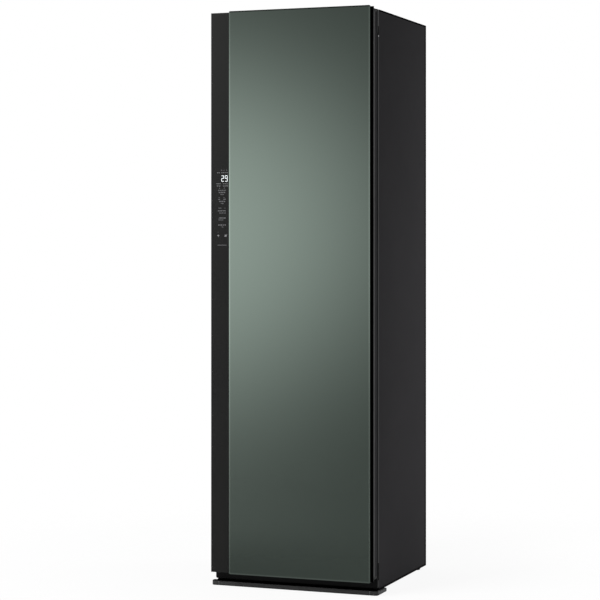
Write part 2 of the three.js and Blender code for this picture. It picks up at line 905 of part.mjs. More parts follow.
// The inner side of the door: a moulded liner with a raised ring that enters the chamber.
function addDoorInner() {
  const half = bodyHalf - capWall;
  const low = doorBottom + notchDepth + gap;
  const high = doorTop - notchDepth - gap;
  const plate = alongY(roundedRectangle(-half, half, low, high, glassCorner), doorLinerY, doorSkinY);
  const plugHalf = chamberHalf - plugClear;
  const plugLow = chamberFloor + plugClear;
  const plugHigh = chamberCeiling - plugClear;
  const outer = roundedRectangle(-plugHalf, plugHalf, plugLow, plugHigh, linerCorner);
  const inner = roundedRectangle(
    -plugHalf + plugWall, plugHalf - plugWall, plugLow + plugWall, plugHigh - plugWall, linerCorner,
  );
  outer.holes.push(inner);
  addPart("door_inner_liner", join(plate, alongY(outer, doorLinerY, doorSkinY + plugReach)), palePlastic());

  const outside = linerHalf + gasketInset;
  const gasketHigh = bodyTop - gasketTopDrop;
  const lip = gasketLip;
  const ring = (inset) => roundedRectangle(
    -outside + inset, outside - inset, gasketLow + inset, gasketHigh - inset, linerCorner,
  );
  const seal = (inset, width, y0, y1) => {
    const shape = ring(inset);
    shape.holes.push(ring(inset + width));
    return alongY(shape, y0, y1, slotSteps);
  };
  const middleY = doorSkinY + gap + (frameY - doorSkinY) / 3;
  addPart("door_gasket", join(
    seal(lip, gasketWidth - 2 * lip, doorSkinY + gap, frameY - gap),
    seal(0, gasketWidth, middleY, middleY + lip / 2),
  ), softRubber());
}

// A hinge bracket: a leg on the front frame, an arm into the door cap, and the pin.
function hingeBracket(armZ, legLow, legHigh, pinLow, pinHigh, collar) {
  const arm = join(
    box(hingeX - armHalf, hingeX + armHalf, hingeY, frameY - gap, armZ, armZ + armThickness),
    roundZ(armHalf, hingeX, hingeY, armZ, armZ + armThickness),
  );
  const legBack = frameY - gap;
  const leg = box(bodyHalf - legWidth, bodyHalf - gap, legBack - armThickness, legBack, legLow, legHigh);
  return join(arm, leg, roundZ(pinRadius, hingeX, hingeY, pinLow, pinHigh), ...collar);
}

function addHinges() {
  const topFloor = doorTop - notchDepth;
  const topArm = bodyTop - armThickness;
  addPart("upper_hinge_bracket", hingeBracket(
    topArm, topArm - legHeight, bodyTop, topFloor - pinLength, topArm + armThickness / 2, [],
  ), darkPlastic());
  const lowCeiling = doorBottom + notchDepth;
  const lowArm = lowCeiling - gap * 4 - armThickness;
  const collar = roundZ(collarRadius, hingeX, hingeY, lowArm, lowCeiling - gap);
  addPart("lower_hinge_bracket", hingeBracket(
    lowArm, frameBottom + capWall, lowArm + armThickness, lowArm, lowCeiling + pinLength, [collar],
  ), darkPlastic());
}

// The garment chamber: one moulded tub, open to the front, with shelf ledges and flutes behind.
function addChamber() {
  const tub = (half, low, high, r) => roundedRectangle(-half, half, low, high, r);
  const floorTop = chamberFloor;
  const outside = alongY(tub(linerHalf, linerBottom, linerTop, linerCorner), frameY + gap, linerRearY);
  const inside = alongY(
    tub(chamberHalf, floorTop, chamberCeiling, linerCorner - linerWall), frameY - cutOver, chamberRearY,
  );
  const ledges = [-1, 1].map((side) => box(
    Math.min(side * (chamberHalf - ledgeReach), side * (chamberHalf + linerWall / 2)),
    Math.max(side * (chamberHalf - ledgeReach), side * (chamberHalf + linerWall / 2)),
    frameY + shelfFrontRoom - ledgeFront, chamberRearY + linerWall / 2,
    floorTop + ledgeRise - ledgeThickness, floorTop + ledgeRise,
  ));
  const pitch = (2 * chamberHalf - fluteEnd) / (fluteCount - 1);
  const flutes = Array.from({ length: fluteCount }, (_, i) => {
    const x = -chamberHalf + fluteEnd / 2 + i * pitch;
    return box(
      x - fluteWidth / 2, x + fluteWidth / 2, chamberRearY - fluteDepth, chamberRearY + linerWall / 2,
      floorTop + ledgeRise + fluteEnd, chamberCeiling - fluteEnd,
    );
  });
  const holes = [
    floorHole(inletBox(gap)),
    floorHole(outletBox(gap)),
    roundZ(nozzleHole + gap, nozzleX, nozzleY, linerBottom - cutOver, floorTop + cutOver, midSteps),
    roundZ(scentHole + gap, scentX, scentY, linerBottom - cutOver, floorTop + cutOver, midSteps),
    box(
      -ceilingSlotWidth / 2, ceilingSlotWidth / 2, shakerY - ceilingSlotDepth / 2,
      shakerY + ceilingSlotDepth / 2, chamberCeiling - cutOver, linerTop + cutOver,
    ),
  ];
  addPart("chamber_liner", cut(join(cut(outside, inside), ...ledges, ...flutes), holes), palePlastic());
}

// The openings in the chamber floor, as [x0, x1, y0, y1], grown by a clearance.
function inletBox(grow) {
  const half = inletWidth / 2 + grow;
  return [ductX - half, ductX + half, inletY - grow, inletY + inletDepth + grow];
}

function outletBox(grow) {
  const half = outletWidth / 2 + grow;
  const y1 = chamberRearY - outletBack;
  return [ductX - half, ductX + half, y1 - outletDepth - grow, y1 + grow];
}

function floorHole([x0, x1, y0, y1]) {
  return box(x0, x1, y0, y1, linerBottom - cutOver, chamberFloor + cutOver);
}

// A floor grille: a flange on the chamber floor and a sleeve through it.
function sleeve([x0, x1, y0, y1], low, wall) {
  const top = chamberFloor + gap;
  const high = top + inletFlangeThickness;
  const f = inletFlange;
  return cut(
    join(
      box(x0, x1, y0, y1, low, high),
      alongZ(roundedRectangle(x0 - f, x1 + f, y0 - f, y1 + f, f / 2), top, high),
    ),
    box(x0 + wall, x1 - wall, y0 + wall, y1 - wall, low - cutOver, high + cutOver),
  );
}

function addGrilles() {
  const inlet = inletBox(0);
  const low = chamberFloor - inletDrop;
  const rests = grilleRestShares.map((share) => {
    const x = inlet[0] + (inlet[1] - inlet[0]) * share;
    return box(x - grilleWall, x + grilleWall, inlet[2] + grilleWall / 2, inlet[3] - grilleWall / 2,
      low, low + grilleWall);
  });
  addPart("air_inlet_grille", join(sleeve(inlet, low, grilleWall), ...rests), whitePlastic());

  const outlet = outletBox(0);
  const top = chamberFloor + gap;
  const high = top + inletFlangeThickness;
  const outletLow = linerBottom - linerWall;
  const pitch = (outletWidth - 2 * grilleWall) / (outletVanes + 1);
  const vanes = Array.from({ length: outletVanes }, (_, i) => {
    const x = outlet[0] + grilleWall + (i + 1) * pitch;
    return box(x - outletVane / 2, x + outletVane / 2, outlet[2] + grilleWall / 2, outlet[3] - grilleWall / 2,
      outletLow, high);
  });
  addPart("air_outlet_grille", join(sleeve(outlet, outletLow, grilleWall), ...vanes), whitePlastic());

  // The lint filter stands in the inlet sleeve and is pulled up by its handle.
  const inset = grilleWall + gap * 2;
  const [x0, x1, y0, y1] = [inlet[0] + inset, inlet[1] - inset, inlet[2] + inset, inlet[3] - inset];
  const filterLow = low + grilleWall + gap;
  const filterHigh = filterLow + filterHeight;
  const w = filterWall;
  const step = (x1 - x0 - 2 * w) / (filterSlats + 1);
  const slats = Array.from({ length: filterSlats }, (_, i) => {
    const x = x0 + w + (i + 1) * step;
    return box(x - filterSlatWidth / 2, x + filterSlatWidth / 2, y0 + w / 2, y1 - w / 2,
      filterLow, filterHigh - filterWall);
  });
  const pull = alongY(roundedRectangle(
    ductX - filterPull / 2, ductX + filterPull / 2, filterHigh - filterWall, filterHigh + filterPullHeight, w,
  ), y0, y0 + w);
  addPart("lint_filter", join(
    cut(box(x0, x1, y0, y1, filterLow, filterHigh), box(x0 + w, x1 - w, y0 + w, y1 - w,
      filterLow - cutOver, filterHigh + cutOver)),
    ...slats,
    pull,
  ), greyPlastic());
}

// The shelf lies on the ledges and lifts straight up.
function addShelf() {
  const z = chamberFloor + ledgeRise + gap;
  const half = chamberHalf - runGap;
  const y0 = frameY + shelfFrontRoom;
  const y1 = chamberRearY - runGap;
  const plate = alongZ(roundedRectangle(-half, half, y0, y1, shelfRim / 2), z, z + shelfThickness);
  const pitch = (2 * half - 2 * shelfRim + shelfBar) / shelfSlots;
  const slots = [];
  for (let i = 0; i < shelfSlots; i += 1) {
    const x0 = -half + shelfRim + i * pitch;
    const middle = (y0 + y1) / 2;
    for (const [a, b] of [[y0 + shelfRim, middle - shelfBar], [middle + shelfBar, y1 - shelfRim]]) {
      slots.push(alongZ(
        chamferedRectangle(x0, x0 + pitch - shelfBar, a, b, shelfBar / 2), z - cutOver, z + shelfThickness + cutOver,
      ));
    }
  }
  addPart("shelf", cut(plate, slots), palePlastic());
}

// The steam nozzle and the scent cap stand in the chamber floor.
function addFloorFittings() {
  const top = gap + nozzleHeight;
  const nozzle = turned([
    [0, -linerWall - nozzleStem],
    [nozzleBore + nozzleBore / 2, -linerWall - nozzleStem],
    [nozzleBore + nozzleBore / 2, -linerWall - gap],
    [nozzleHole, -linerWall],
    [nozzleHole, gap],
    [nozzleRadius, gap],
    [nozzleRadius, nozzleHeight / 3],
    [nozzleRadius * nozzleTopShare, top],
    [0, top],
  ], nozzleX, nozzleY, chamberFloor);
  const ports = Array.from({ length: nozzlePorts }, (_, i) => {
    const port = box(nozzleBore / 4, nozzleRadius, -nozzlePort / 2, nozzlePort / 2, 0, nozzlePortHeight);
    return port
      .rotateZ((i * 2 * Math.PI) / nozzlePorts)
      .translate(nozzleX, nozzleY, chamberFloor + nozzleHeight / 2);
  });
  const bore = roundZ(
    nozzleBore, nozzleX, nozzleY, chamberFloor - linerWall - nozzleStem - cutOver,
    chamberFloor + nozzleHeight * nozzleBoreShare,
  );
  addPart("steam_nozzle", cut(nozzle, bore, ports), greyPlastic());

  const cap = turned([
    [0, -scentSkirt],
    [scentHole - gap, -scentSkirt],
    [scentHole, -scentSkirt + gap],
    [scentHole, gap],
    [scentRadius, gap],
    [scentRadius, scentThickness * scentRimShare],
    [scentRadius * scentTopShare, scentThickness],
    [0, scentThickness],
  ], scentX, scentY, chamberFloor);
  const gripHalf = scentRadius * scentGripShare;
  const grip = box(
    scentX - gripHalf, scentX + gripHalf, scentY - scentThickness / 2, scentY + scentThickness / 2,
    chamberFloor + scentThickness / 2, chamberFloor + scentGripHeight,
  );
  const cup = roundZ(
    scentHole - filterWall, scentX, scentY, chamberFloor - scentSkirt - cutOver, chamberFloor - filterWall,
  );
  addPart("scent_cap", cut(join(cap, grip), cup), greyPlastic());
}

// The garment shaker: a motor on the ceiling turns a crank whose pin drives the yoke of the hanger bar.
function addShaker() {
  const barTop = chamberCeiling - barDrop;
  const barLow = barTop - barHeight;
  const y = shakerY;
  const yokeTop = barTop + yokeHeight;
  const slotHalf = crankPinRadius + slotClear;
  const slotNear = y + crankRadius * Math.cos(crankTurn) - slotHalf;
  const slotFar = y + crankRadius + slotHalf;
  const yoke = cut(
    box(-slotHalf - yokeWall, slotHalf + yokeWall, y - barWidth / 2, slotFar + yokeWall, barTop, yokeTop),
    box(-slotHalf, slotHalf, slotNear, slotFar, barTop - cutOver, yokeTop + cutOver),
  );
  const section = roundedRectangle(y - barWidth / 2, y + barWidth / 2, barLow, barTop, barHeight / 4);
  const beam = alongX(section, -barLength / 2, barLength / 2, slotSteps);
  const shelf = box(-slotHalf - yokeWall, slotHalf + yokeWall, y, slotFar + yokeWall, barLow, barTop);
  const notches = [];
  for (let i = 0; i < notchCount; i += 1) {
    for (const side of [-1, 1]) {
      const x = side * (notchStart + i * notchPitch);
      notches.push(alongY(polygon([
        [x - notchWidth / 2, barTop + cutOver],
        [x - notchWidth / 2, barTop - notchCut / 2],
        [x, barTop - notchCut],
        [x + notchWidth / 2, barTop - notchCut / 2],
        [x + notchWidth / 2, barTop + cutOver],
      ]), y - barWidth, y + barWidth));
    }
  }
  addPart("hanger_bar", cut(join(beam, shelf, yoke), notches), greyPlastic());

  for (const [name, side] of [["hanger_guide_left", -1], ["hanger_guide_right", 1]]) {
    const x = side * guideSpan;
    const half = guideLength / 2;
    const eye = [barWidth / 2 + barClear, barLow - barClear, barTop + barClear];
    const body = join(
      box(x - half, x + half, y - eye[0] - guideWall, y + eye[0] + guideWall, eye[1] - guideWall,
        chamberCeiling - gap),
      box(x - half, x + half, y - eye[0] - guideWall - guideFoot, y + eye[0] + guideWall + guideFoot,
        chamberCeiling - gap - guideFootThickness, chamberCeiling - gap),
    );
    const window = box(
      x - half - cutOver, x + half + cutOver, y - eye[0] + guideWall / 2, y + eye[0] - guideWall / 2,
      eye[2] + guideWall, chamberCeiling - guideFootThickness - guideWall,
    );
    const way = box(x - half - cutOver, x + half + cutOver, y - eye[0], y + eye[0], eye[1], eye[2]);
    addPart(name, cut(body, window, way), greyPlastic());
  }

  const discLow = yokeTop + crankPinLength - yokeHeight;
  const discHigh = discLow + crankDiscThickness;
  const motorLow = linerTop + gap + drivePlateThickness + gap;
  const crank = join(
    roundZ(crankDiscRadius, 0, y, discLow, discHigh, roundSteps),
    roundZ(crankShaftRadius, 0, y, discHigh - cutOver, motorLow + motorBore - runGap),
    roundZ(crankShaftRadius * 2, 0, y, discHigh - cutOver, discHigh + crankDiscThickness / 2),
    roundZ(crankPinRadius, 0, y + crankRadius, discLow - crankPinLength + gap * 4, discLow + cutOver),
  );
  addPart("crank_disc", crank, brightSteel());

  const bore = crankShaftRadius + gap;
  const halfX = ceilingSlotWidth / 2 + drivePlateMargin;
  const halfY = ceilingSlotDepth / 2 + drivePlateMargin;
  const plate = join(
    box(-halfX, halfX, y - halfY, y + halfY, linerTop + gap, linerTop + gap + drivePlateThickness),
    roundZ(bore + driveCollar, 0, y, linerTop - linerWall - driveCollar, linerTop + gap + cutOver / 2),
  );
  addPart("shaker_drive_plate", cut(plate,
    roundZ(bore, 0, y, chamberCeiling - driveCollar * 2, motorLow)), galvanised());

  const ribs = Array.from({ length: 8 }, (_, i) => {
    const rib = new THREE.BoxGeometry(motorRadius + motorRib, motorRib, motorHeight - motorBore);
    rib.translate((motorRadius + motorRib) / 2, 0, motorLow + motorHeight / 2);
    return rib.rotateZ((i * Math.PI) / 4).translate(0, y, 0);
  });
  const motor = cut(
    join(roundZ(motorRadius, 0, y, motorLow, motorLow + motorHeight, midSteps), ...ribs),
    roundZ(bore, 0, y, motorLow - cutOver, motorLow + motorBore),
  );
  addPart("shaker_motor", motor, brightSteel());

  const lightY = frameY + lightFrontRoom;
  const top = chamberCeiling - gap;
  const lens = alongX(polygon([
    [lightY - lightWidth / 2, top],
    [lightY - lightWidth / 2, top - lightThickness / 2],
    [lightY - lightWidth / 4, top - lightThickness],
    [lightY + lightWidth / 4, top - lightThickness],
    [lightY + lightWidth / 2, top - lightThickness / 2],
    [lightY + lightWidth / 2, top],
  ]), -lightLength / 2, lightLength / 2);
  addPart("chamber_light", lens, whitePlastic());
}

// The trouser press: a back plate on the door, a vertical rod at its left, and the hinged plate.
function addPress() {
  const backY0 = doorSkinY + gap;
  const backY1 = backY0 + pressBackThickness;
  const plateY0 = backY1 + runGap;
  const plateY1 = plateY0 + pressPlateThickness;
  const rodX = -pressHalf - pressRodOut;
  const rodY = plateY0;
  const barrel = pressRodRadius + gap + pressBarrelWall;
  const leftClear = barrel + runGap;
  const backLeft = rodX + leftClear;
  const rodBore = (z0, z1) => roundZ(pressRodRadius + gap, rodX, rodY, z0, z1);
  const base = alongY(roundedRectangle(backLeft, pressHalf, pressLow, pressHigh, pressCorner), backY0, backY1);
  const ears = [[pressLow + pressCorner, 1], [pressHigh - pressCorner, -1]].map(([z, dir]) => {
    const [z0, z1] = dir > 0 ? [z, z + pressEar] : [z - pressEar, z];
    return cut(
      join(
        roundZ(barrel, rodX, rodY, z0, z1),
        box(rodX, backLeft + pressEar, backY0, backY1, z0, z1),
        box(rodX - barrel, rodX, backY0, rodY, z0, z1),
        box(rodX - pressRodRadius, backLeft + pressEar / 2, backY0, backY1, z0, z1),
      ),
      rodBore(z0 - cutOver, z1 + cutOver),
    );
  });
  const ribPitch = (pressHigh - pressLow) / (pressRibs + 1);
  const grooves = Array.from({ length: pressRibs }, (_, i) => {
    const z = pressLow + (i + 1) * ribPitch;
    const margin = pressHalf / 5;
    return alongY(chamferedRectangle(
      backLeft + margin, pressHalf - margin, z - pressRibHeight / 2, z + pressRibHeight / 2, pressRibHeight / 3,
    ), backY1 - pressRibDepth, backY1 + cutOver);
  });
  addPart("press_back_plate", cut(join(base, ...ears), grooves), palePlastic());

  const rodLow = pressLow + pressCorner - runGap;
  const rodHigh = pressHigh - pressCorner + runGap;
  addPart("press_hinge_rod", roundZ(pressRodRadius, rodX, rodY, rodLow, rodHigh), brightSteel());

  const hingeLow = pressLow + pressCorner + pressEar + runGap;
  const hingeHigh = pressHigh - pressCorner - pressEar - runGap;
  const leaf = alongY(
    roundedRectangle(backLeft + runGap, pressHalf, pressLow, pressHigh, pressCorner), plateY0, plateY1,
  );
  const knuckle = cut(
    join(
      roundZ(barrel, rodX, rodY, hingeLow, hingeHigh),
      box(rodX, backLeft + pressEar, rodY + barrel / 3, rodY + barrel, hingeLow, hingeHigh),
    ),
    rodBore(hingeLow - cutOver, hingeHigh + cutOver),
  );
  const ribs = Array.from({ length: pressRibs }, (_, i) => {
    const z = pressLow + (i + 1) * ribPitch;
    const margin = pressHalf / 5;
    return alongY(chamferedRectangle(
      backLeft + margin, pressHalf - margin, z - pressRibHeight / 2, z + pressRibHeight / 2, pressRibHeight / 3,
    ), plateY1 - cutOver, plateY1 + pressRibDepth);
  });
  const middle = (pressLow + pressHigh) / 2;
  const grip = alongY(roundedRectangle(
    pressHalf - pressGripDepth, pressHalf + pressGripDepth, middle - pressGrip / 2, middle + pressGrip / 2,
    pressGripDepth / 2,
  ), plateY0 - cutOver, plateY1 + cutOver);
  addPart("press_plate", cut(join(leaf, knuckle, ...ribs), grip), whitePlastic());
}

// The tank bay: a moulded housing with a pocket for each tank and a column between them.
function addTankBay() {
  const y0 = frameY + gap;
  const y1 = bayRearY;
  const outside = alongY(roundedRectangle(-bayHalf, bayHalf, bayLow, bayHigh, bayCorner), y0, y1);
  const [inner, outer, low, high] = pocket();
  const pockets = [-1, 1].map((side) => {
    const [x0, x1] = side > 0 ? [inner, outer] : [-outer, -inner];
    return alongY(roundedRectangle(x0, x1, low, high, bayCorner - bayWall), y0 - cutOver, y1 - bayWall);
  });
  const columnHalf = bayColumn / 2 - bayWall;
  const core = box(-columnHalf, columnHalf, y0 + bayWall, y1 + cutOver, low, high);
  const runners = [];
  const ways = [];
  for (const side of [-1, 1]) {
    for (const share of runnerShares) {
      const x = side * (inner + (outer - inner) * share);
      runners.push(box(x - runnerWidth / 2, x + runnerWidth / 2, y0 + bayCorner, y1 - bayWall / 2,
        low - bayWall / 2, low + runnerHeight));
    }
    ways.push(roundY(spoutRadius + runGap, spoutX(side), spoutZ(), y1 - bayWall - cutOver, y1 + cutOver));
  }
  addPart("tank_bay", cut(join(cut(outside, pockets, core), ...runners), ways), palePlastic());
}

// The inside of a pocket of the bay: nearest and farthest x, floor and ceiling.
function pocket() {
  return [bayColumn / 2, bayHalf - bayWall, bayLow + bayWall, bayHigh - bayWall];
}

function spoutX(side) {
  const [inner, outer] = pocket();
  return side * (inner + outer) / 2;
}

function spoutZ() {
  return pocket()[2] + runnerHeight + gap + spoutRise;
}

// A water tank with its lid: a hollow box with a filling mouth, a hand hold in front and a spout.
function addTank(name, side, makeMaterial) {
  const [inner, outer, low] = pocket();
  const x0 = (side > 0 ? inner : -outer) + tankClear;
  const x1 = (side > 0 ? outer : -inner) - tankClear;
  const middle = (x0 + x1) / 2;
  const y0 = frameY + tankSetBack;
  const y1 = y0 + tankDepth;
  const z0 = low + runnerHeight + gap;
  const z1 = z0 + tankHeight;
  const t = tankWall;
  const outside = alongZ(roundedRectangle(x0, x1, y0, y1, tankCorner), z0, z1);
  const gripHigh = z1 - gripDrop;
  const hold = (grow) => alongY(roundedRectangle(
    middle - gripWidth / 2 - grow, middle + gripWidth / 2 + grow,
    gripHigh - gripHeight - grow, gripHigh + grow, gripHeight / 4 + grow,
  ), y0 - cutOver, y0 + gripDepth + grow, slotSteps);
  const inside = cut(
    alongZ(roundedRectangle(x0 + t, x1 - t, y0 + t, y1 - t, tankCorner - t), z0 + t, z1 - t),
    hold(t),
  );
  const bore = roundY(spoutRadius - t, spoutX(side), spoutZ(), y1 - t - cutOver, y1 + spoutReach - t);
  const spout = roundY(spoutRadius, spoutX(side), spoutZ(), y1 - t / 2, y1 + spoutReach);
  const mouthY = (y0 + gripDepth + t + y1) / 2;
  const mouth = roundZ(mouthRadius, middle, mouthY, z1 - t - cutOver, z1 + cutOver, midSteps);
  addPart(name, cut(join(outside, spout), inside, hold(0), bore, mouth), makeMaterial());

  const lid = turned([
    [0, -lidSkirt],
    [mouthRadius - gap, -lidSkirt],
    [mouthRadius - gap, gap],
    [lidRadius, gap],
    [lidRadius, lidThickness * lidRimShare],
    [lidRadius - lidThickness / 4, lidThickness],
    [lidRadius * lidStepShare, lidThickness],
    [lidRadius * lidDishShare, lidThickness * lidDishDepthShare],
    [0, lidThickness * lidDishDepthShare],
  ], middle, mouthY, z1);
  const cup = roundZ(mouthRadius - gap - t, middle, mouthY, z1 - lidSkirt - cutOver, z1);
  addPart(name + "_lid", cut(lid, cup), greyPlastic());
}

// The air duct: a moulded case on the base pan, a riser with a hood under the inlet grille, and an
// elbow that leads to the eye of the fan.
function addDuct() {
  const t = ductWall;
  const x0 = ductLeft;
  const x1 = ductRight;
  const top = linerBottom - gap;
  const fanLeft = ductX - fanWidth / 2 - gap;
  const elbow = fanEye + 2 * t;
  const hoodLow = bayHigh + gap;
  const shells = (inset, open) => [
    box(x0 + inset, x1 - inset, ductFrontY + inset, linerRearY - inset, panFloor + inset, ductTop - inset),
    box(x0 + inset, x1 - inset, ductFrontY + inset, riserRearY - inset, ductTop - 2 * t, top + open),
    box(x0 + inset, x1 - inset, inletY - hoodLap + inset, riserRearY - inset, hoodLow + inset, top + open),
    box(x0 + inset, fanLeft + open, fanY - elbow + inset, fanY + elbow - inset, ductTop - 2 * t,
      fanZ + elbow - inset),
  ];
  addPart("air_duct", cut(join(...shells(0, 0)), shells(t, cutOver)), darkPlastic());

  for (const [name, y] of [["evaporator", evaporatorY], ["condenser", condenserY]]) {
    addPart(name, coil(x0 + t + coilSideRoom, x1 - t - coilSideRoom, y), brightSteel());
  }
}

// A heat exchanger: upright fins on straight tubes.
function coil(x0, x1, y) {
  const low = panFloor + ductWall + gap;
  const pitch = (x1 - x0 - coilFin) / (coilFins - 1);
  const fins = Array.from({ length: coilFins }, (_, i) => box(
    x0 + i * pitch, x0 + i * pitch + coilFin, y, y + coilDepth, low, low + coilHeight,
  ));
  const tubes = Array.from({ length: coilTubes }, (_, i) => roundX(
    coilTube, y + coilDepth / 2, low + (coilHeight * (i + 0.5)) / coilTubes, x0 - coilSideRoom / 2,
    x1 + coilSideRoom / 2, coilSides,
  ));
  return join(...fins, ...tubes);
}

// The outline of the fan scroll in (y, z): a growing spiral that ends in an upward outlet.
function scrollOutline(inset, top) {
  const start = (75 * Math.PI) / 180;
  const steps = roundSteps;
  const points = [];
  for (let i = 0; i <= steps; i += 1) {
    const share = i / steps;
    const angle = start + share * (2 * Math.PI - start);
    const r = fanInner + fanGrow * share + fanWall - inset;
    points.push([fanY + r * Math.cos(angle), fanZ + r * Math.sin(angle)]);
  }
  const nearWall = fanY + (fanInner + fanWall) * Math.cos(start) + inset;
  const farWall = fanY + fanInner + fanGrow + fanWall - inset;
  return polygon([...points, [farWall, top], [nearWall, top]]);
}

function addFan() {
  const x0 = ductX - fanWidth / 2;
  const x1 = ductX + fanWidth / 2;
  const top = linerBottom - linerWall - gap;
  const foot = box(
    x0, x1, fanY - fanInner / 2, fanY + fanInner / 2, ductTop + gap, fanZ - fanInner - fanWall,
  );
  const housing = cut(
    join(alongX(scrollOutline(0, top), x0, x1), foot),
    alongX(scrollOutline(fanWall, top + cutOver), x0 + fanWall, x1 - fanWall),
    roundX(fanEye, fanY, fanZ, x0 - cutOver, x0 + fanWall + cutOver, roundSteps),
    roundX(fanShaft + gap, fanY, fanZ, x1 - fanWall - cutOver, x1 + cutOver),
  );
  addPart("fan_housing", housing, darkPlastic());

  // The impeller: curved blades between a back disc and a front ring, on a hub and a shaft.
  const w0 = ductX - impellerWidth / 2;
  const w1 = ductX + impellerWidth / 2;
  const lean = Math.PI / 9;
  const blade = new THREE.Shape();
  const arc = [0, 1 / 2, 1].map((share) => {
    const r = bladeInner + (impellerRadius - bladeInner) * share;
    const angle = lean * share * share;
    return [r * Math.cos(angle), r * Math.sin(angle)];
  });
  blade.moveTo(arc[0][0], arc[0][1] - bladeThickness / 2);
  arc.slice(1).forEach(([a, b]) => blade.lineTo(a, b - bladeThickness / 2));
  arc.reverse().forEach(([a, b]) => blade.lineTo(a, b + bladeThickness / 2));
  blade.closePath();
  const blades = Array.from({ length: impellerBlades }, (_, i) => {
    const turnX = (i * 2 * Math.PI) / impellerBlades;
    return alongX(blade, w0, w1).rotateX(turnX).translate(0, fanY, fanZ);
  });
  const ring = cut(
    roundX(impellerRadius, fanY, fanZ, w0, w0 + impellerRing, roundSteps),
    roundX(impellerRadius - impellerRing, fanY, fanZ, w0 - cutOver, w0 + impellerRing + cutOver, roundSteps),
  );
  const motorLeft = x1 + gap;
  addPart("fan_impeller", join(
    roundX(impellerRadius, fanY, fanZ, w1 - impellerRing / 2, w1, roundSteps),
    roundX(impellerHub, fanY, fanZ, w1 - impellerWidth / 2, w1),
    roundX(fanShaft, fanY, fanZ, w1 - cutOver, motorLeft + fanMotorBore - runGap),
    ring,
    ...blades,
  ), greyPlastic());

  const slots = Array.from({ length: fanMotorSlots }, (_, i) => {
    const slot = new THREE.BoxGeometry(fanMotorLength * fanMotorSlotShare, fanMotorSlot, fanMotorRadius / 2);
    slot.translate(motorLeft + fanMotorLength / 2, 0, fanMotorRadius);
    return slot.rotateX((i * 2 * Math.PI) / fanMotorSlots).translate(0, fanY, fanZ);
  });
  addPart("fan_motor", cut(
    roundX(fanMotorRadius, fanY, fanZ, motorLeft, motorLeft + fanMotorLength, roundSteps),
    roundX(fanShaft + gap, fanY, fanZ, motorLeft - cutOver, motorLeft + fanMotorBore),
    slots,
  ), brightSteel());
}

function addHeatPump() {
  const z = panFloor + compressorFootHeight;
  const r = compressorRadius;
  const dome = r / 3;
  const can = turned([
    [0, 0],
    [r * compressorEndShare, 0],
    [r, dome],
    [r, compressorHeight - dome],
    [r * compressorDomeShare, compressorHeight - dome / 3],
    [r * compressorCrownShare, compressorHeight],
    [0, compressorHeight],
  ], compressorX, compressorY, z + compressorBaseThickness / 2);
  const half = compressorBase / 2;
  const base = alongZ(roundedRectangle(
    compressorX - half, compressorX + half, compressorY - half, compressorY + half, compressorFoot,
  ), z, z + compressorBaseThickness);
  const reach = half - compressorFootInset;
  const legs = [[-1, -1], [-1, 1], [1, -1], [1, 1]].map(([a, b]) => roundZ(
    compressorFoot, compressorX + a * reach, compressorY + b * reach, panFloor, z + compressorBaseThickness / 2,
    tubeSteps,
  ));
  addPart("compressor", join(can, base, ...legs), darkPlastic());
}

function addSteam() {
  const z = panFloor + steamRise + steamRadius;
  const x0 = steamX - steamLength / 2;
  const x1 = steamX + steamLength / 2;
  const stubX = x0 + steamLength / 4;
  const stubTop = z + steamRadius + steamStubHeight;
  const saddles = steamSaddleShares.map((share) => {
    const x = x0 + steamLength * share;
    return box(
      x - steamSaddle / 2, x + steamSaddle / 2, steamY - steamSaddleHalf, steamY + steamSaddleHalf,
      panFloor, z - steamSaddleDrop,
    );
  });
  const terminals = [-1, 1].map((side) => roundX(
    steamStub / 2, steamY + side * steamTerminalOffset, z, x1 - cutOver, x1 + steamStub, tubeSteps,
  ));
  addPart("steam_generator", join(
    roundX(steamRadius, steamY, z, x0, x1, roundSteps),
    roundZ(steamStub, stubX, steamY, z, stubTop),
    ...saddles,
    ...terminals,
  ), brightSteel());

  const low = stubTop + gap;
  const high = chamberFloor - linerWall - nozzleStem - gap;
  const rise = high - low;
  const route = new THREE.CatmullRomCurve3([
    new THREE.Vector3(stubX, steamY, low),
    new THREE.Vector3(stubX, steamY, low + rise * hoseStartShare),
    new THREE.Vector3((stubX + nozzleX) / 2, (steamY + nozzleY) / 2, low + rise / 2),
    new THREE.Vector3(nozzleX, nozzleY, low + rise * hoseEndShare),
    new THREE.Vector3(nozzleX, nozzleY, high),
  ]);
  const section = polygon(Array.from({ length: hoseSides }, (_, i) => {
    const angle = (i * 2 * Math.PI) / hoseSides;
    return [hoseRadius * Math.cos(angle), hoseRadius * Math.sin(angle)];
  }));
  addPart("steam_hose", new THREE.ExtrudeGeometry(section, {
    steps: hoseSteps,
    bevelEnabled: false,
    extrudePath: route,
  }), softRubber());

  const half = pumpBase / 2;
  const baseTop = panFloor + pumpBaseThickness;
  addPart("water_pump", join(
    alongZ(roundedRectangle(pumpX - half, pumpX + half, pumpY - half, pumpY + half, pumpBaseThickness),
      panFloor, baseTop),
    roundZ(pumpRadius, pumpX, pumpY, baseTop - cutOver, baseTop + pumpHeight, midSteps),
    roundZ(
      pumpHeadRadius, pumpX, pumpY, baseTop + pumpHeight - cutOver,
      baseTop + pumpHeight + pumpHeadHeight, midSteps,
    ),
    roundY(pumpSpoutRadius, pumpX, baseTop + pumpHeight / 2, pumpY - half, pumpY, tubeSteps),
  ), darkPlastic());
}

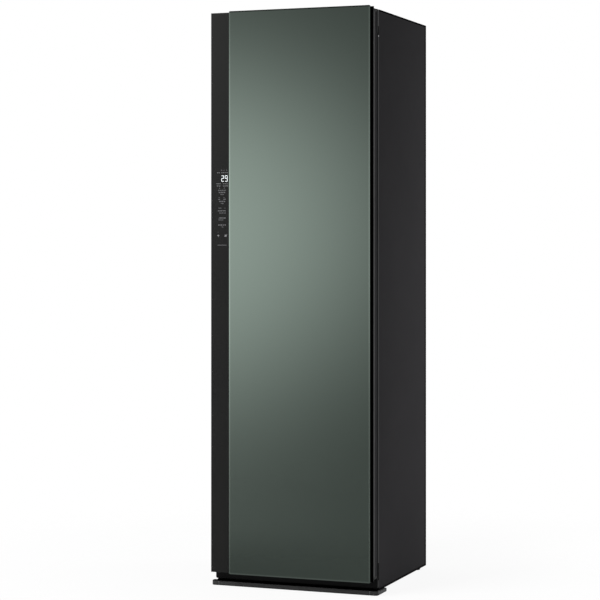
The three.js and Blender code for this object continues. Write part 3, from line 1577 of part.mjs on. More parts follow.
// The electronics box on top of the chamber, with cooling ribs.
function addControlBox() {
  const y1 = linerRearY - boxBack;
  const y0 = y1 - boxDepth;
  const z0 = linerTop + gap;
  const z1 = z0 + boxHeight;
  const pitch = boxWidth / (boxRibs + 1);
  const ribs = Array.from({ length: boxRibs }, (_, i) => {
    const x = -boxWidth / 2 + (i + 1) * pitch;
    return box(x - boxRib / 2, x + boxRib / 2, y0 + boxRib * 3, y1 - boxRib * 3, z1 - boxRib, z1 + boxRib);
  });
  const lid = alongZ(
    roundedRectangle(-boxWidth / 2, boxWidth / 2, y0, y1, boxRib * 2), z0, z1,
  );
  addPart("control_box", join(lid, ...ribs), darkPlastic());
}

addCasing();
addGland();
addFeet();
addPlinth();
addFrontFrame();
addInsulation();
addDoorShell();
addDoorFront();
addDoorInner();
addHinges();
addChamber();
addGrilles();
addShelf();
addFloorFittings();
addShaker();
addPress();
addTankBay();
addTank("supply_tank", -1, smokedClear);
addTank("drain_tank", 1, smokedClear);
addDuct();
addFan();
addHeatPump();
addSteam();
addControlBox();

export default cabinet;
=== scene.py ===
import math

import bmesh
import bpy
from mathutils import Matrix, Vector


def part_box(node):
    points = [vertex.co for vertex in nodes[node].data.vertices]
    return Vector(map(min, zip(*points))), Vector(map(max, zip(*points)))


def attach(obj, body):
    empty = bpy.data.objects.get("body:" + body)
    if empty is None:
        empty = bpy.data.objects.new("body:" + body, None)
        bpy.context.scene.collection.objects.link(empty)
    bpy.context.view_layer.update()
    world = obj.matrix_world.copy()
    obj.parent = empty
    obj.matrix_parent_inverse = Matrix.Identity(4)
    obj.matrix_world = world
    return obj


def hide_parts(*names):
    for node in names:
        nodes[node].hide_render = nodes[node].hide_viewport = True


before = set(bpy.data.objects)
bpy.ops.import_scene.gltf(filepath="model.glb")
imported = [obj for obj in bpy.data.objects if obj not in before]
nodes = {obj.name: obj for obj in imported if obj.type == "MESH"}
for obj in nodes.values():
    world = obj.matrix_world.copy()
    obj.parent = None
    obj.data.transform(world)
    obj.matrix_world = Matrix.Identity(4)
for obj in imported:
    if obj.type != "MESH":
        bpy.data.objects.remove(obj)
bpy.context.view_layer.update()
PI = math.pi
GRAIN_DEPTH = 0.0006
WELD = 1e-6  # vertices closer than this are one
PAINTED_SHADE_SHARE = 0.17  # painted shade along an edge: its tone, as a share of the flat face beside it


# ---------------------------------------------------------------- node materials
class Tree:
    """A node tree that starts empty."""

    def __init__(self, owner):
        owner.use_nodes = True
        self.tree = owner.node_tree
        self.tree.nodes.clear()

    def add(self, kind, **values):
        node = self.tree.nodes.new(kind)
        for key, value in values.items():
            setattr(node, key, value)
        return node

    def link(self, a, b):
        self.tree.links.new(a, b)

    def seen_ray(self):
        """One for a ray that is seen directly, mirrored or through a clear piece, zero for all others."""
        path = self.add("ShaderNodeLightPath")
        total = path.outputs["Is Camera Ray"]
        for ray in ["Is Glossy Ray", "Is Transmission Ray"]:
            either = self.add("ShaderNodeMath", operation="ADD", use_clamp=True)
            self.link(total, either.inputs[0])
            self.link(path.outputs[ray], either.inputs[1])
            total = either.outputs["Value"]
        return total


class Nodes(Tree):
    """Builds one procedural material, node by node."""

    def __init__(self, name):
        self.mat = bpy.data.materials.new(name)
        super().__init__(self.mat)
        self.out = self.add("ShaderNodeOutputMaterial")
        self.coord = self.add("ShaderNodeTexCoord")

    def noise(self, scale, detail=3.0, rough=0.5, stretch=(1, 1, 1)):
        mapping = self.add("ShaderNodeMapping")
        mapping.inputs["Scale"].default_value = stretch
        self.link(self.coord.outputs["Object"], mapping.inputs["Vector"])
        noise = self.add("ShaderNodeTexNoise")
        noise.inputs["Scale"].default_value = scale
        noise.inputs["Detail"].default_value = detail
        noise.inputs["Roughness"].default_value = rough
        self.link(mapping.outputs["Vector"], noise.inputs["Vector"])
        return noise.outputs["Fac"]

    def ramp(self, fac, stops):
        ramp = self.add("ShaderNodeValToRGB")
        ramp.color_ramp.elements.remove(ramp.color_ramp.elements[0])
        for i, (place, colour) in enumerate(stops):
            element = ramp.color_ramp.elements[0] if i == 0 else ramp.color_ramp.elements.new(place)
            element.position = place
            element.color = (*colour, 1)
        self.link(fac, ramp.inputs["Fac"])
        return ramp.outputs["Color"]

    def darker(self, tone, axis, start, end):
        """Painted shade: the tone falls to a set share between two places along one axis, darkening an edge
        as shade would.
        """
        split = self.add("ShaderNodeSeparateXYZ")
        self.link(self.coord.outputs["Object"], split.inputs["Vector"])
        ramp = self.add("ShaderNodeMapRange")
        ramp.inputs["From Min"].default_value = start
        ramp.inputs["From Max"].default_value = end
        ramp.inputs["To Min"].default_value = 1.0
        ramp.inputs["To Max"].default_value = PAINTED_SHADE_SHARE
        self.link(split.outputs[axis], ramp.inputs["Value"])
        scale = self.add("ShaderNodeVectorMath", operation="SCALE")
        self.link(tone, scale.inputs[0])
        self.link(ramp.outputs["Result"], scale.inputs["Scale"])
        return scale.outputs["Vector"]

    def span(self, fac, low, high):
        span = self.add("ShaderNodeMapRange")
        span.inputs["To Min"].default_value = low
        span.inputs["To Max"].default_value = high
        self.link(fac, span.inputs["Value"])
        return span.outputs["Result"]


def shade(colour, factor):
    return tuple(min(1.0, c * factor) for c in colour)


def surface(name, colour, rough=0.5, metal=0.0, specular=0.5, vary=0.08, grain=900.0, bump=0.05,
            blotch=6.0, rough_vary=0.06, stretch=(1, 1, 1), painted_shade_bands=()):
    """A surface with a soft cloud of tone, a fine grain in the bump and a little unevenness in its gloss; any
    bands given darken its edges with painted shade.
    """
    n = Nodes(name)
    bsdf = n.add("ShaderNodeBsdfPrincipled")
    cloud = n.noise(blotch, 4.0, 0.55)
    tone = n.ramp(cloud, [(0.3, shade(colour, 1 - vary)), (0.7, shade(colour, 1 + vary))])
    # Each band darkens the tone along an edge: painted shade.
    for axis, start, end in painted_shade_bands:
        tone = n.darker(tone, axis, start, end)
    n.link(tone, bsdf.inputs["Base Color"])
    fine = n.noise(grain, 2.0, 0.6, stretch)
    n.link(n.span(fine, max(0.0, rough - rough_vary), min(1.0, rough + rough_vary)), bsdf.inputs["Roughness"])
    if bump:
        dent = n.add("ShaderNodeBump")
        dent.inputs["Strength"].default_value = bump
        dent.inputs["Distance"].default_value = GRAIN_DEPTH
        n.link(fine, dent.inputs["Height"])
        n.link(dent.outputs["Normal"], bsdf.inputs["Normal"])
    bsdf.inputs["Metallic"].default_value = metal
    bsdf.inputs["Specular IOR Level"].default_value = specular
    n.link(bsdf.outputs["BSDF"], n.out.inputs["Surface"])
    return n.mat


def glow(name, colour, strength):
    """A lit mark on the display, dark where it is off."""
    n = Nodes(name)
    bsdf = n.add("ShaderNodeBsdfPrincipled")
    cloud = n.noise(300.0, 1.0)
    tone = n.ramp(cloud, [(0.3, shade(colour, 0.94)), (0.7, colour)])
    n.link(tone, bsdf.inputs["Base Color"])
    n.link(tone, bsdf.inputs["Emission Color"])
    bsdf.inputs["Emission Strength"].default_value = strength
    bsdf.inputs["Roughness"].default_value = 0.6
    bsdf.inputs["Specular IOR Level"].default_value = 0.1
    n.link(bsdf.outputs["BSDF"], n.out.inputs["Surface"])
    return n.mat


MAT = {
    # The bands paint shade along the rear, top and bottom edges of these panels.
    "powder": surface("graphite_powder_coat", (0.0375, 0.0366, 0.0385), 0.62, specular=0.0, vary=0.05,
                      grain=1400.0, bump=0.10, blotch=2.2,
                      painted_shade_bands=[("Y", 0.2790, 0.2835), ("Z", 1.9450, 1.9465), ("Z", 0.0220, 0.0160)]),
    # The band paints shade along the top panel's right edge.
    "powder_top": surface("graphite_powder_top", (0.0375, 0.0366, 0.0385), 0.62, specular=0.0, vary=0.05,
                          grain=1400.0, bump=0.10, blotch=2.2, painted_shade_bands=[("X", 0.2885, 0.2915)]),
    # Pure black with no gloss: for the hinge covers, and as painted shade on the door margin, the plinth's
    # top and the base pan's front edge.
    "trim_and_shade": surface("black_trim_and_painted_shade", (0.0012, 0.0012, 0.0012), 0.7, specular=0.0, vary=0.1, grain=1200.0,
                    bump=0.03),
    "band": surface("door_edge_band", (0.034, 0.034, 0.0345), 0.5, specular=0.05, vary=0.05, grain=1200.0,
                    bump=0.05),
    # The band paints shade along the lowest part of these pieces, under the door.
    "frame": surface("door_frame_plastic", (0.0230, 0.0235, 0.0240), 0.5, specular=0.05, vary=0.06,
                     grain=1600.0, bump=0.06, painted_shade_bands=[("Z", 0.0580, 0.0480)]),
    # The band paints shade along the bottom cap's lowest part.
    "cap": surface("door_cap_plastic", (0.0205, 0.0208, 0.0208), 0.5, specular=0.03, vary=0.06, grain=1600.0,
                   bump=0.06, painted_shade_bands=[("Z", 0.0600, 0.0470)]),
    # The band paints shade along the strip's left edge.
    "strip": surface("control_strip_matte", (0.0172, 0.0174, 0.0170), 0.58, specular=0.02, vary=0.04,
                     grain=2200.0, bump=0.05, blotch=3.0, painted_shade_bands=[("X", -0.2890, -0.2935)]),
    "mirror": surface("tinted_mirror_glass", (0.0395, 0.0490, 0.0428), 0.08, metal=1.0, vary=0.012,
                      grain=3.0, bump=0.0, blotch=1.5, rough_vary=0.015),
    # A lighter copy of the mirror for its bevel and border: painted highlight.
    "mirror_edge": surface("polished_glass_edge_painted_highlight", (0.0612, 0.0750, 0.0660), 0.12, metal=1.0, vary=0.03,
                           grain=1200.0, bump=0.0),
    # A darker copy for its top edge: painted shade.
    "mirror_top": surface("shaded_glass_edge", (0.0140, 0.0170, 0.0150), 0.12, metal=1.0, vary=0.03,
                          grain=1200.0, bump=0.0),
    "carrier": surface("black_carrier", (0.006, 0.0065, 0.0065), 0.6, specular=0.2, vary=0.05, bump=0.05),
    # The bands paint shade along the plinth's bottom edge and its top edge.
    "plinth": surface("plinth_plastic", (0.0400, 0.0405, 0.0405), 0.5, specular=0.12, vary=0.06, grain=1300.0,
                      bump=0.10, painted_shade_bands=[("Z", 0.0046, 0.0006), ("Z", 0.0125, 0.0157)]),
    "seam": surface("plinth_seam", (0.16, 0.16, 0.16), 0.6, specular=0.1, vary=0.06, bump=0.05),
    "foot": surface("foot_plastic", (0.009, 0.009, 0.0095), 0.5, specular=0.1, vary=0.08, bump=0.12),
    "liner": surface("pale_liner_plastic", (0.50, 0.515, 0.53), 0.38, specular=0.5, vary=0.03, grain=1100.0,
                     bump=0.08, blotch=3.0),
    "white": surface("white_satin_plastic", (0.68, 0.70, 0.71), 0.30, specular=0.5, vary=0.025, grain=900.0,
                     bump=0.05, blotch=4.0),
    "grey": surface("grey_moulded_plastic", (0.115, 0.118, 0.122), 0.45, specular=0.45, vary=0.06,
                    grain=1200.0, bump=0.12),
    "rubber": surface("gasket_rubber", (0.010, 0.0105, 0.011), 0.75, specular=0.25, vary=0.10, grain=700.0,
                      bump=0.10),
    "zinc": surface("galvanised_sheet", (0.42, 0.43, 0.44), 0.38, metal=1.0, vary=0.05, grain=260.0,
                    bump=0.03, blotch=70.0, rough_vary=0.08),
    "steel": surface("bright_steel", (0.56, 0.57, 0.58), 0.28, metal=1.0, vary=0.05, grain=500.0, bump=0.05,
                     rough_vary=0.08, stretch=(1, 1, 14)),
    "foam": surface("felted_insulation", (0.62, 0.60, 0.55), 0.95, specular=0.1, vary=0.10, grain=420.0,
                    bump=0.6, blotch=30.0),
    "board": surface("circuit_board_green", (0.012, 0.075, 0.035), 0.4, specular=0.5, vary=0.12, grain=600.0,
                     bump=0.1, blotch=90.0),
    "dark": surface("dark_moulded_plastic", (0.020, 0.021, 0.022), 0.52, specular=0.35, vary=0.08,
                    grain=1000.0, bump=0.15),
    "lens": surface("light_lens", (0.86, 0.88, 0.90), 0.25, specular=0.5, vary=0.02, grain=500.0, bump=0.10),
    "digits": glow("display_white", (0.72, 0.76, 0.77), 0.52),
    "marks": glow("printed_marks", (0.112, 0.113, 0.116), 0.02),
    "icons": glow("printed_icons", (0.20, 0.20, 0.205), 0.04),
}


def tank_material():
    n = Nodes("smoked_tank_plastic")
    bsdf = n.add("ShaderNodeBsdfPrincipled")
    cloud = n.noise(8.0, 3.0)
    n.link(n.ramp(cloud, [(0.3, (0.36, 0.44, 0.48)), (0.7, (0.42, 0.50, 0.54))]), bsdf.inputs["Base Color"])
    fine = n.noise(700.0, 2.0)
    n.link(n.span(fine, 0.10, 0.20), bsdf.inputs["Roughness"])
    bsdf.inputs["Transmission Weight"].default_value = 0.7
    bsdf.inputs["IOR"].default_value = 1.45
    n.link(bsdf.outputs["BSDF"], n.out.inputs["Surface"])
    return n.mat


MAT["tank"] = tank_material()


# ---------------------------------------------------------------- mesh helpers
def new_object(name, bm, material, body, smooth=35.0):
    mesh = bpy.data.meshes.new(name)
    bmesh.ops.recalc_face_normals(bm, faces=bm.faces)
    bm.to_mesh(mesh)
    bm.free()
    obj = bpy.data.objects.new(name, mesh)
    bpy.context.scene.collection.objects.link(obj)
    for m in material if isinstance(material, (list, tuple)) else [material]:
        mesh.materials.append(m)
    shade_by_angle(obj, smooth)
    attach(obj, body)
    return obj


def shade_by_angle(obj, degrees):
    mesh = obj.data
    for poly in mesh.polygons:
        poly.use_smooth = True
    mesh.set_sharp_from_angle(angle=math.radians(degrees))


def soften(obj, width, segments=3, angle=35.0):
    """Rounds the sharp edges of a piece."""
    mod = obj.modifiers.new("edge", "BEVEL")
    mod.width = width
    mod.segments = segments
    mod.limit_method = "ANGLE"
    mod.angle_limit = math.radians(angle)
    mod.harden_normals = True


def arc(cx, cy, r, a0, a1, steps):
    """Points on a circle from angle a0 to a1, both ends included."""
    return [(cx + r * math.cos(a0 + (a1 - a0) * i / steps), cy + r * math.sin(a0 + (a1 - a0) * i / steps))
            for i in range(steps + 1)]


def rounded(a0, a1, b0, b1, r, steps=8):
    """A rounded rectangle; r is one radius, or four from low-low, counter-clockwise."""
    r0, r1, r2, r3 = r if isinstance(r, (list, tuple)) else (r,) * 4
    out = []
    for cx, cy, rad, start in [(a0 + r0, b0 + r0, r0, PI), (a1 - r1, b0 + r1, r1, 1.5 * PI),
                               (a1 - r2, b1 - r2, r2, 0.0), (a0 + r3, b1 - r3, r3, 0.5 * PI)]:
        if rad <= WELD:
            out.append((cx, cy))
        else:
            out += arc(cx, cy, rad, start, start + 0.5 * PI, steps)
    return out


def place(axis, a, b, h):
    """A point from its two places across an axis and its height along it."""
    if axis == "Z":
        return (a, b, h)
    if axis == "Y":
        return (a, h, b)
    return (h, a, b)


def prism(bm, outline, h0, h1, axis="Z"):
    """A closed block with the same outline at both ends."""
    low = [bm.verts.new(place(axis, a, b, h0)) for a, b in outline]
    high = [bm.verts.new(place(axis, a, b, h1)) for a, b in outline]
    bm.faces.new(low)
    bm.faces.new(high)
    count = len(outline)
    for i in range(count):
        j = (i + 1) % count
        bm.faces.new((low[i], low[j], high[j], high[i]))


def lathe(bm, profile, centre, axis="Z", steps=48):
    """Turns a profile of (radius, height) points about an axis; radius 0 closes on the axis."""
    middle = Vector(centre)
    rings = []
    for r, h in profile:
        if r == 0:
            rings.append([bm.verts.new(middle + Vector(place(axis, 0, 0, h)))])
            continue
        turns = [2 * PI * i / steps for i in range(steps)]
        rings.append([bm.verts.new(middle + Vector(place(axis, r * math.cos(a), r * math.sin(a), h)))
                      for a in turns])
    for low, high in zip(rings, rings[1:]):
        for i in range(steps):
            j = (i + 1) % steps
            loop = [low[i % len(low)], low[j % len(low)], high[j % len(high)], high[i % len(high)]]
            if len(set(loop)) >= 3:
                bm.faces.new([v for k, v in enumerate(loop) if v is not loop[k - 1]])


def ring(bm, outer, inner, z0, z1):
    """A plate with one hole, both outlines running the same way."""
    def loop(line, z):
        return [bm.verts.new((x, y, z)) for x, y in line]

    ol, oh, il, ih = loop(outer, z0), loop(outer, z1), loop(inner, z0), loop(inner, z1)
    for a, b in [(ol, oh), (il, ih)]:
        for i in range(len(a)):
            j = (i + 1) % len(a)
            bm.faces.new((a[i], a[j], b[j], b[i]))
    for o, i in [(ol, il), (oh, ih)]:
        edges = []
        for line in (o, i):
            for k in range(len(line)):
                edges.append(bm.edges.get((line[k], line[(k + 1) % len(line)]))
                             or bm.edges.new((line[k], line[(k + 1) % len(line)])))
        bmesh.ops.triangle_fill(bm, use_beauty=True, use_dissolve=False, edges=edges)


def circle(centre, radius, count):
    """Points at equal steps round a centre, seen from above."""
    angles = [2 * PI * i / count for i in range(count)]
    return [(centre[0] + radius * math.cos(a), centre[1] + radius * math.sin(a)) for a in angles]


def mm(*values):
    """Millimetres as metres."""
    return [v / 1000 for v in values]


def middle_of(node, z):
    """The middle of a CAD node seen from above, at height z."""
    lo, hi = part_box(node)
    return ((lo.x + hi.x) / 2, (lo.y + hi.y) / 2, z)


def dress(node, material, width):
    """Dresses a CAD node that stays: its own facets, softened edges and a procedural material."""
    obj = nodes[node]
    obj.data.materials.clear()
    obj.data.materials.append(material)
    weld = obj.modifiers.new("weld", "WELD")
    weld.merge_threshold = 0.00002
    if width:
        bevel = obj.modifiers.new("edge", "BEVEL")
        bevel.width = width
        bevel.segments = 2
        bevel.limit_method = "ANGLE"
        bevel.angle_limit = math.radians(40)
        bevel.use_clamp_overlap = True


# ---------------------------------------------------------------- CAD nodes that stay, with their looks
STAY = {
    "powder": ["left_side_panel", "right_side_panel", "door_shell"],
    "powder_top": ["top_panel"],
    "zinc": ["rear_panel", "rear_access_cover", "base_pan", "shaker_drive_plate"],
    "frame": ["front_frame", "upper_hinge_bracket", "lower_hinge_bracket"],
    "cap": ["door_cap_top", "door_cap_bottom"],
    "carrier": ["glass_carrier"],
    "foam": ["insulation_jacket"],
    "board": ["display_board"],
    "liner": ["chamber_liner", "door_inner_liner", "press_back_plate", "tank_bay", "shelf"],
    "white": ["air_inlet_grille", "air_outlet_grille", "press_plate"],
    "lens": ["chamber_light"],
    "rubber": ["door_gasket", "steam_hose"],
    "grey": ["lint_filter", "hanger_guide_left", "hanger_guide_right", "fan_impeller"],
    "steel": ["press_hinge_rod", "evaporator", "condenser", "fan_motor", "shaker_motor", "steam_generator"],
    "dark": ["cord_gland", "air_duct", "fan_housing", "compressor", "water_pump", "control_box"],
    "tank": ["supply_tank", "drain_tank"],
}
EDGE = {"powder": 0.0005, "powder_top": 0.0005, "zinc": 0.0003, "frame": 0.0005, "cap": 0.0005,
        "liner": 0.0008, "white": 0.0006, "grey": 0.0005, "dark": 0.0008, "carrier": 0.0004, "lens": 0.001}
CRISP = ["fan_impeller", "fan_housing", "compressor"]  # these keep the CAD's own edges
for key, names in STAY.items():
    for name in names:
        dress(name, MAT[key], 0 if name in CRISP else EDGE.get(key, 0))


# ---------------------------------------------------------------- mirror glass and control strip
def make_glass():
    """The mirror pane: a flat face, and a narrow polished bevel and border painted lighter as a highlight,
    painted darker as shade along the top edge.
    """
    lo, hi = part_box("mirror_glass")
    corner, bevel, border = 0.004, 0.0006, 0.0046
    bm = bmesh.new()
    loops = []
    for inset, y in [(0.0, hi.y), (0.0, lo.y + bevel), (bevel, lo.y), (border, lo.y)]:
        radius = max(corner - inset, 0.0004)
        line = rounded(lo.x + inset, hi.x - inset, lo.z + inset, hi.z - inset, radius, 10)
        loops.append([bm.verts.new((a, y, b)) for a, b in line])
    count = len(loops[0])
    bm.faces.new(loops[0]).material_index = 1
    bm.faces.new(loops[-1]).material_index = 0
    for a, b in zip(loops, loops[1:]):
        for i in range(count):
            j = (i + 1) % count
            face = bm.faces.new((a[i], a[j], b[j], b[i]))
            # Edge faces get the painted highlight, and the painted shade near the top.
            face.material_index = 2 if min(v.co.z for v in face.verts) > hi.z - 1.5 * corner else 1
    obj = new_object("glass_pane", bm, [MAT["mirror"], MAT["mirror_edge"], MAT["mirror_top"]], "door", 20)
    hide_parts("mirror_glass")


def make_strip():
    """The matte control strip, rounded at the door's left edge and crisp beside the glass."""
    lo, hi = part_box("control_panel")
    outer, inner = 0.0025, 0.0006
    outline = [(hi.x, hi.y), (lo.x, hi.y)]
    outline += arc(lo.x + outer, lo.y + outer, outer, PI, 1.5 * PI, 10)
    outline += arc(hi.x - inner, lo.y + inner, inner, 1.5 * PI, 2 * PI, 4)
    bm = bmesh.new()
    prism(bm, outline, lo.z, hi.z)
    obj = new_object("control_strip", bm, MAT["strip"], "door", 30)
    soften(obj, 0.0004, 2, 60)
    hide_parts("control_panel")


def slab(name, low, high, material, body):
    """A thin rectangular strip between two corners."""
    bm = bmesh.new()
    corners = [(low[0], low[1]), (high[0], low[1]), (high[0], high[1]), (low[0], high[1])]
    prism(bm, corners, low[2], high[2])
    new_object(name, bm, material, body, 30)


def make_door_edge():
    """A black slab beside the glass that paints the shade of a deep recess there, and the paler band round
    the door's closing edge.
    """
    shell_lo, shell_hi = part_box("door_shell")
    strip_lo, strip_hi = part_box("control_panel")
    carrier_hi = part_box("glass_carrier")[1]
    skin, gap, band_depth = 0.00012, 0.0004, 0.0135
    # A black slab that paints the shade of the recess beside the glass.
    slab("door_margin_painted_shade", (carrier_hi.x + gap, strip_lo.y, strip_lo.z),
         (shell_hi.x, shell_lo.y - skin, strip_hi.z), MAT["trim_and_shade"], "door")
    slab("door_edge_band", (shell_hi.x, strip_lo.y, shell_lo.z),
         (shell_hi.x + skin, shell_lo.y + band_depth, shell_hi.z), MAT["band"], "door")


make_glass()
make_strip()
make_door_edge()


# ---------------------------------------------------------------- touch display
DIGITS = {"2": "abged", "9": "abcdfg"}  # the lit bars of each figure
LIT, PRINTED = 0.00012, 0.00008  # how far the lit and the printed marks stand out of the strip


def bar(bm, x0, x1, z0, z1, y, depth=LIT, round_share=0.45):
    """A flat bar with rounded ends on the face at y."""
    r = min(x1 - x0, z1 - z0) * round_share
    prism(bm, rounded(x0, x1, z0, z1, r, 3), y - depth, y + depth, "Y")


def digit(bm, char, x0, z0, w, h, t, y):
    """A figure of width w and height h from bars t thick."""
    mid = z0 + h / 2
    slots = {
        "a": (x0 + t * 0.4, x0 + w - t * 0.4, z0 + h - t, z0 + h),
        "g": (x0 + t * 0.4, x0 + w - t * 0.4, mid - t / 2, mid + t / 2),
        "d": (x0 + t * 0.4, x0 + w - t * 0.4, z0, z0 + t),
        "b": (x0 + w - t, x0 + w, mid + t * 0.1, z0 + h - t * 0.3),
        "c": (x0 + w - t, x0 + w, z0 + t * 0.3, mid - t * 0.1),
        "f": (x0, x0 + t, mid + t * 0.1, z0 + h - t * 0.3),
        "e": (x0, x0 + t, z0 + t * 0.3, mid - t * 0.1),
    }
    for key in DIGITS[char]:
        bar(bm, *slots[key], y)


def make_display():
    """Two lit figures over rows of small printed marks, and two small signs."""
    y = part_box("control_panel")[0].y
    bm = bmesh.new()
    for char, left in [("2", -254.3), ("9", -241.0)]:
        digit(bm, char, *mm(left, 1381.2, 9.6, 21.0, 1.9), y)
    obj = new_object("display_digits", bm, MAT["digits"], "door", 30)

    # Rows of short bars stand for the small print, in millimetres: (z, height, [(x0, x1), ...]).
    rows = [
        (1420.0, 3.2, [(-255, -252), (-245.5, -243), (-236, -232.5)]),
        (1411.5, 3.6, [(-270, -266), (-264.5, -260), (-254, -249.5), (-248, -243.5), (-242, -237),
                       (-235.5, -230)]),
        (1373.6, 3.2, [(-272.5, -268), (-266.5, -260), (-258.5, -255.5), (-248, -243), (-241.5, -235),
                       (-233.5, -229.5)]),
        (1366.2, 3.4, [(-271.5, -265.5), (-264, -257.5), (-249, -244.5), (-243, -238), (-236.5, -229)]),
        (1358.6, 2.6, [(-262.5, -259), (-245, -241)]),
        (1351.2, 3.2, [(-266, -261.5), (-260, -255), (-253.5, -246), (-244.5, -238)]),
        (1344.2, 3.8, [(-264, -258), (-256.8, -249), (-247.8, -240)]),
        (1337.2, 2.8, [(-257, -252), (-250.5, -245.5)]),
        (1327.0, 2.4, [(-264, -261), (-246, -242.5)]),
        (1320.6, 3.0, [(-266, -259.5), (-247, -237.5)]),
        (1313.4, 3.6, [(-262, -256), (-254.5, -248), (-246.5, -240)]),
        (1306.4, 2.6, [(-256, -246)]),
        (1290.6, 2.6, [(-265, -260), (-258.5, -254), (-243, -239.5)]),
        (1281.6, 3.6, [(-267, -260), (-258.5, -250), (-248.5, -238)]),
        (1274.0, 2.6, [(-262, -255), (-253.5, -246), (-244.5, -238)]),
        (1256.8, 4.4, [(-263.5, -260.5), (-259, -252.5), (-251, -246), (-244.5, -238)]),
        (1250.2, 2.4, [(-265, -256), (-254.5, -246.5)]),
        (1233.0, 4.2, [(-266, -259.5), (-258, -250.5), (-249, -243.5), (-242, -237)]),
        (1226.4, 2.2, [(-253, -247)]),
        (1164.4, 2.2, [(-268, -235)]),
        (1209.0, 1.6, [(-268, -265)]),
    ]
    bm = bmesh.new()
    for z, height, spans in rows:
        for x0, x1 in spans:
            bar(bm, *mm(x0, x1, z - height / 2, z + height / 2), y, PRINTED, 0.3)
    obj = new_object("display_marks", bm, MAT["marks"], "door", 30)

    bm = bmesh.new()
    x, z, tip, notch = mm(-265.5, 1197, 4.6, 2.4)
    star = [(tip if k % 2 == 0 else notch, k * PI / 4) for k in range(8)]
    low, high, left, right, slant = mm(1193.4, 1200.2, -243, -235.5, 2.6)
    for outline in [[(x + r * math.cos(a), z + r * math.sin(a)) for r, a in star],
                    [(left, low), (right, low), (right + slant, high), (left + slant, high)]]:
        prism(bm, outline, y - PRINTED, y + PRINTED, "Y")
    obj = new_object("display_icons", bm, MAT["icons"], "door", 30)


make_display()


# ---------------------------------------------------------------- plinth and feet
def make_plinth():
    """The front bar with its end caps, a black film on their top that paints the shadow there, and the pale
    seams between them.
    """
    bar_lo, bar_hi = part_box("plinth_bar")
    left_lo, left_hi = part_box("plinth_cap_left")
    right_lo, right_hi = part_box("plinth_cap_right")
    panel_gap, lap, edge, r = 0.0003, 0.0008, 0.0012, 0.012
    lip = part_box("front_frame")[0].y
    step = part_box("left_side_panel")[0].z - panel_gap

    def corner(x, side, turned):
        if not turned:
            return [(x, bar_lo.y)]
        start = PI if side < 0 else 1.5 * PI
        return arc(x - side * r, bar_lo.y + r, r, start, start + 0.5 * PI, 10)

    def piece(name, node, x0, x1, left_round, right_round):
        bm = bmesh.new()
        front = corner(x0, -1, left_round) + corner(x1, 1, right_round)
        prism(bm, [*front, (x1, lip), (x0, lip)], 0.0, bar_hi.z)
        prism(bm, [(x0, lip - lap), (x1, lip - lap), (x1, bar_hi.y), (x0, bar_hi.y)], 0.0, step)
        obj = new_object(name, bm, MAT["plinth"], "cabinet", 30)
        soften(obj, edge, 3, 50)
        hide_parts(node)

    end, front_inset, film = 0.004, 0.0016, 0.0002
    # A black film on the plinth's top: painted shadow under the cabinet's front.
    slab("plinth_top_painted_shadow", (left_lo.x + end, bar_lo.y + front_inset, bar_hi.z),
         (right_hi.x - end, lip, bar_hi.z + film), MAT["trim_and_shade"], "cabinet")
    before, after, proud, low, high = 0.0004, 0.0011, 0.0001, 0.0012, bar_hi.z - 0.0008
    for side, x in [("left", bar_lo.x - 0.0007), ("right", bar_hi.x)]:
        slab("plinth_seam_" + side, (x - before, bar_lo.y - proud, low), (x + after, bar_lo.y + film, high),
             MAT["seam"], "cabinet")
    piece("plinth_front_bar", "plinth_bar", bar_lo.x, bar_hi.x, False, False)
    piece("plinth_end_left", "plinth_cap_left", left_lo.x, left_hi.x, True, False)
    piece("plinth_end_right", "plinth_cap_right", right_lo.x, right_hi.x, False, True)


def make_feet():
    """Levelling feet: a turned pad, a hexagon for the spanner and a threaded stem."""
    hexagon, nut_low, nut_high = 0.0089, 0.0064, 0.011
    pitch, core, crest = 0.00158, 0.0046, 0.0050
    for place_name in ["front_left", "front_right", "rear_left", "rear_right"]:
        name = "foot_" + place_name
        c, hi = middle_of(name, 0.0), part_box(name)[1]
        bm = bmesh.new()
        lathe(bm, [(0, 0), (0.0155, 0), (0.0172, 0.0006), (0.018, 0.002), (0.018, 0.0034), (0.0172, 0.0042),
                   (0.0095, 0.0068), (0.0, 0.0070)], c)
        corners = [k * PI / 3 for k in range(6)]
        prism(bm, [(c[0] + hexagon * math.sin(a), c[1] + hexagon * math.cos(a)) for a in corners],
              nut_low, nut_high)
        turns = []
        for z in [nut_high + i * pitch for i in range(14)]:
            turns += [(core, z), (crest, z + 0.0004), (crest, z + 0.0008), (core, z + 0.0012)]
        lathe(bm, [(0, nut_high - 0.0004), *turns, (0.0, hi.z)], c, steps=28)
        obj = new_object(name + "_turned", bm, MAT["foot"], place_name + "_foot", 35)
        soften(obj, 0.0003, 2, 50)
        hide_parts(name)


def make_pan_painted_shade():
    """A black film along the base pan's front edge, behind the plinth: painted shade in the gap there."""
    lo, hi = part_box("base_pan")
    # Painted shade: a black film on the pan's front edge.
    slab("pan_front_painted_shade", (lo.x + 0.002, lo.y - 0.0004, lo.z), (hi.x - 0.002, lo.y - 0.0001, hi.z),
         MAT["trim_and_shade"], "cabinet")


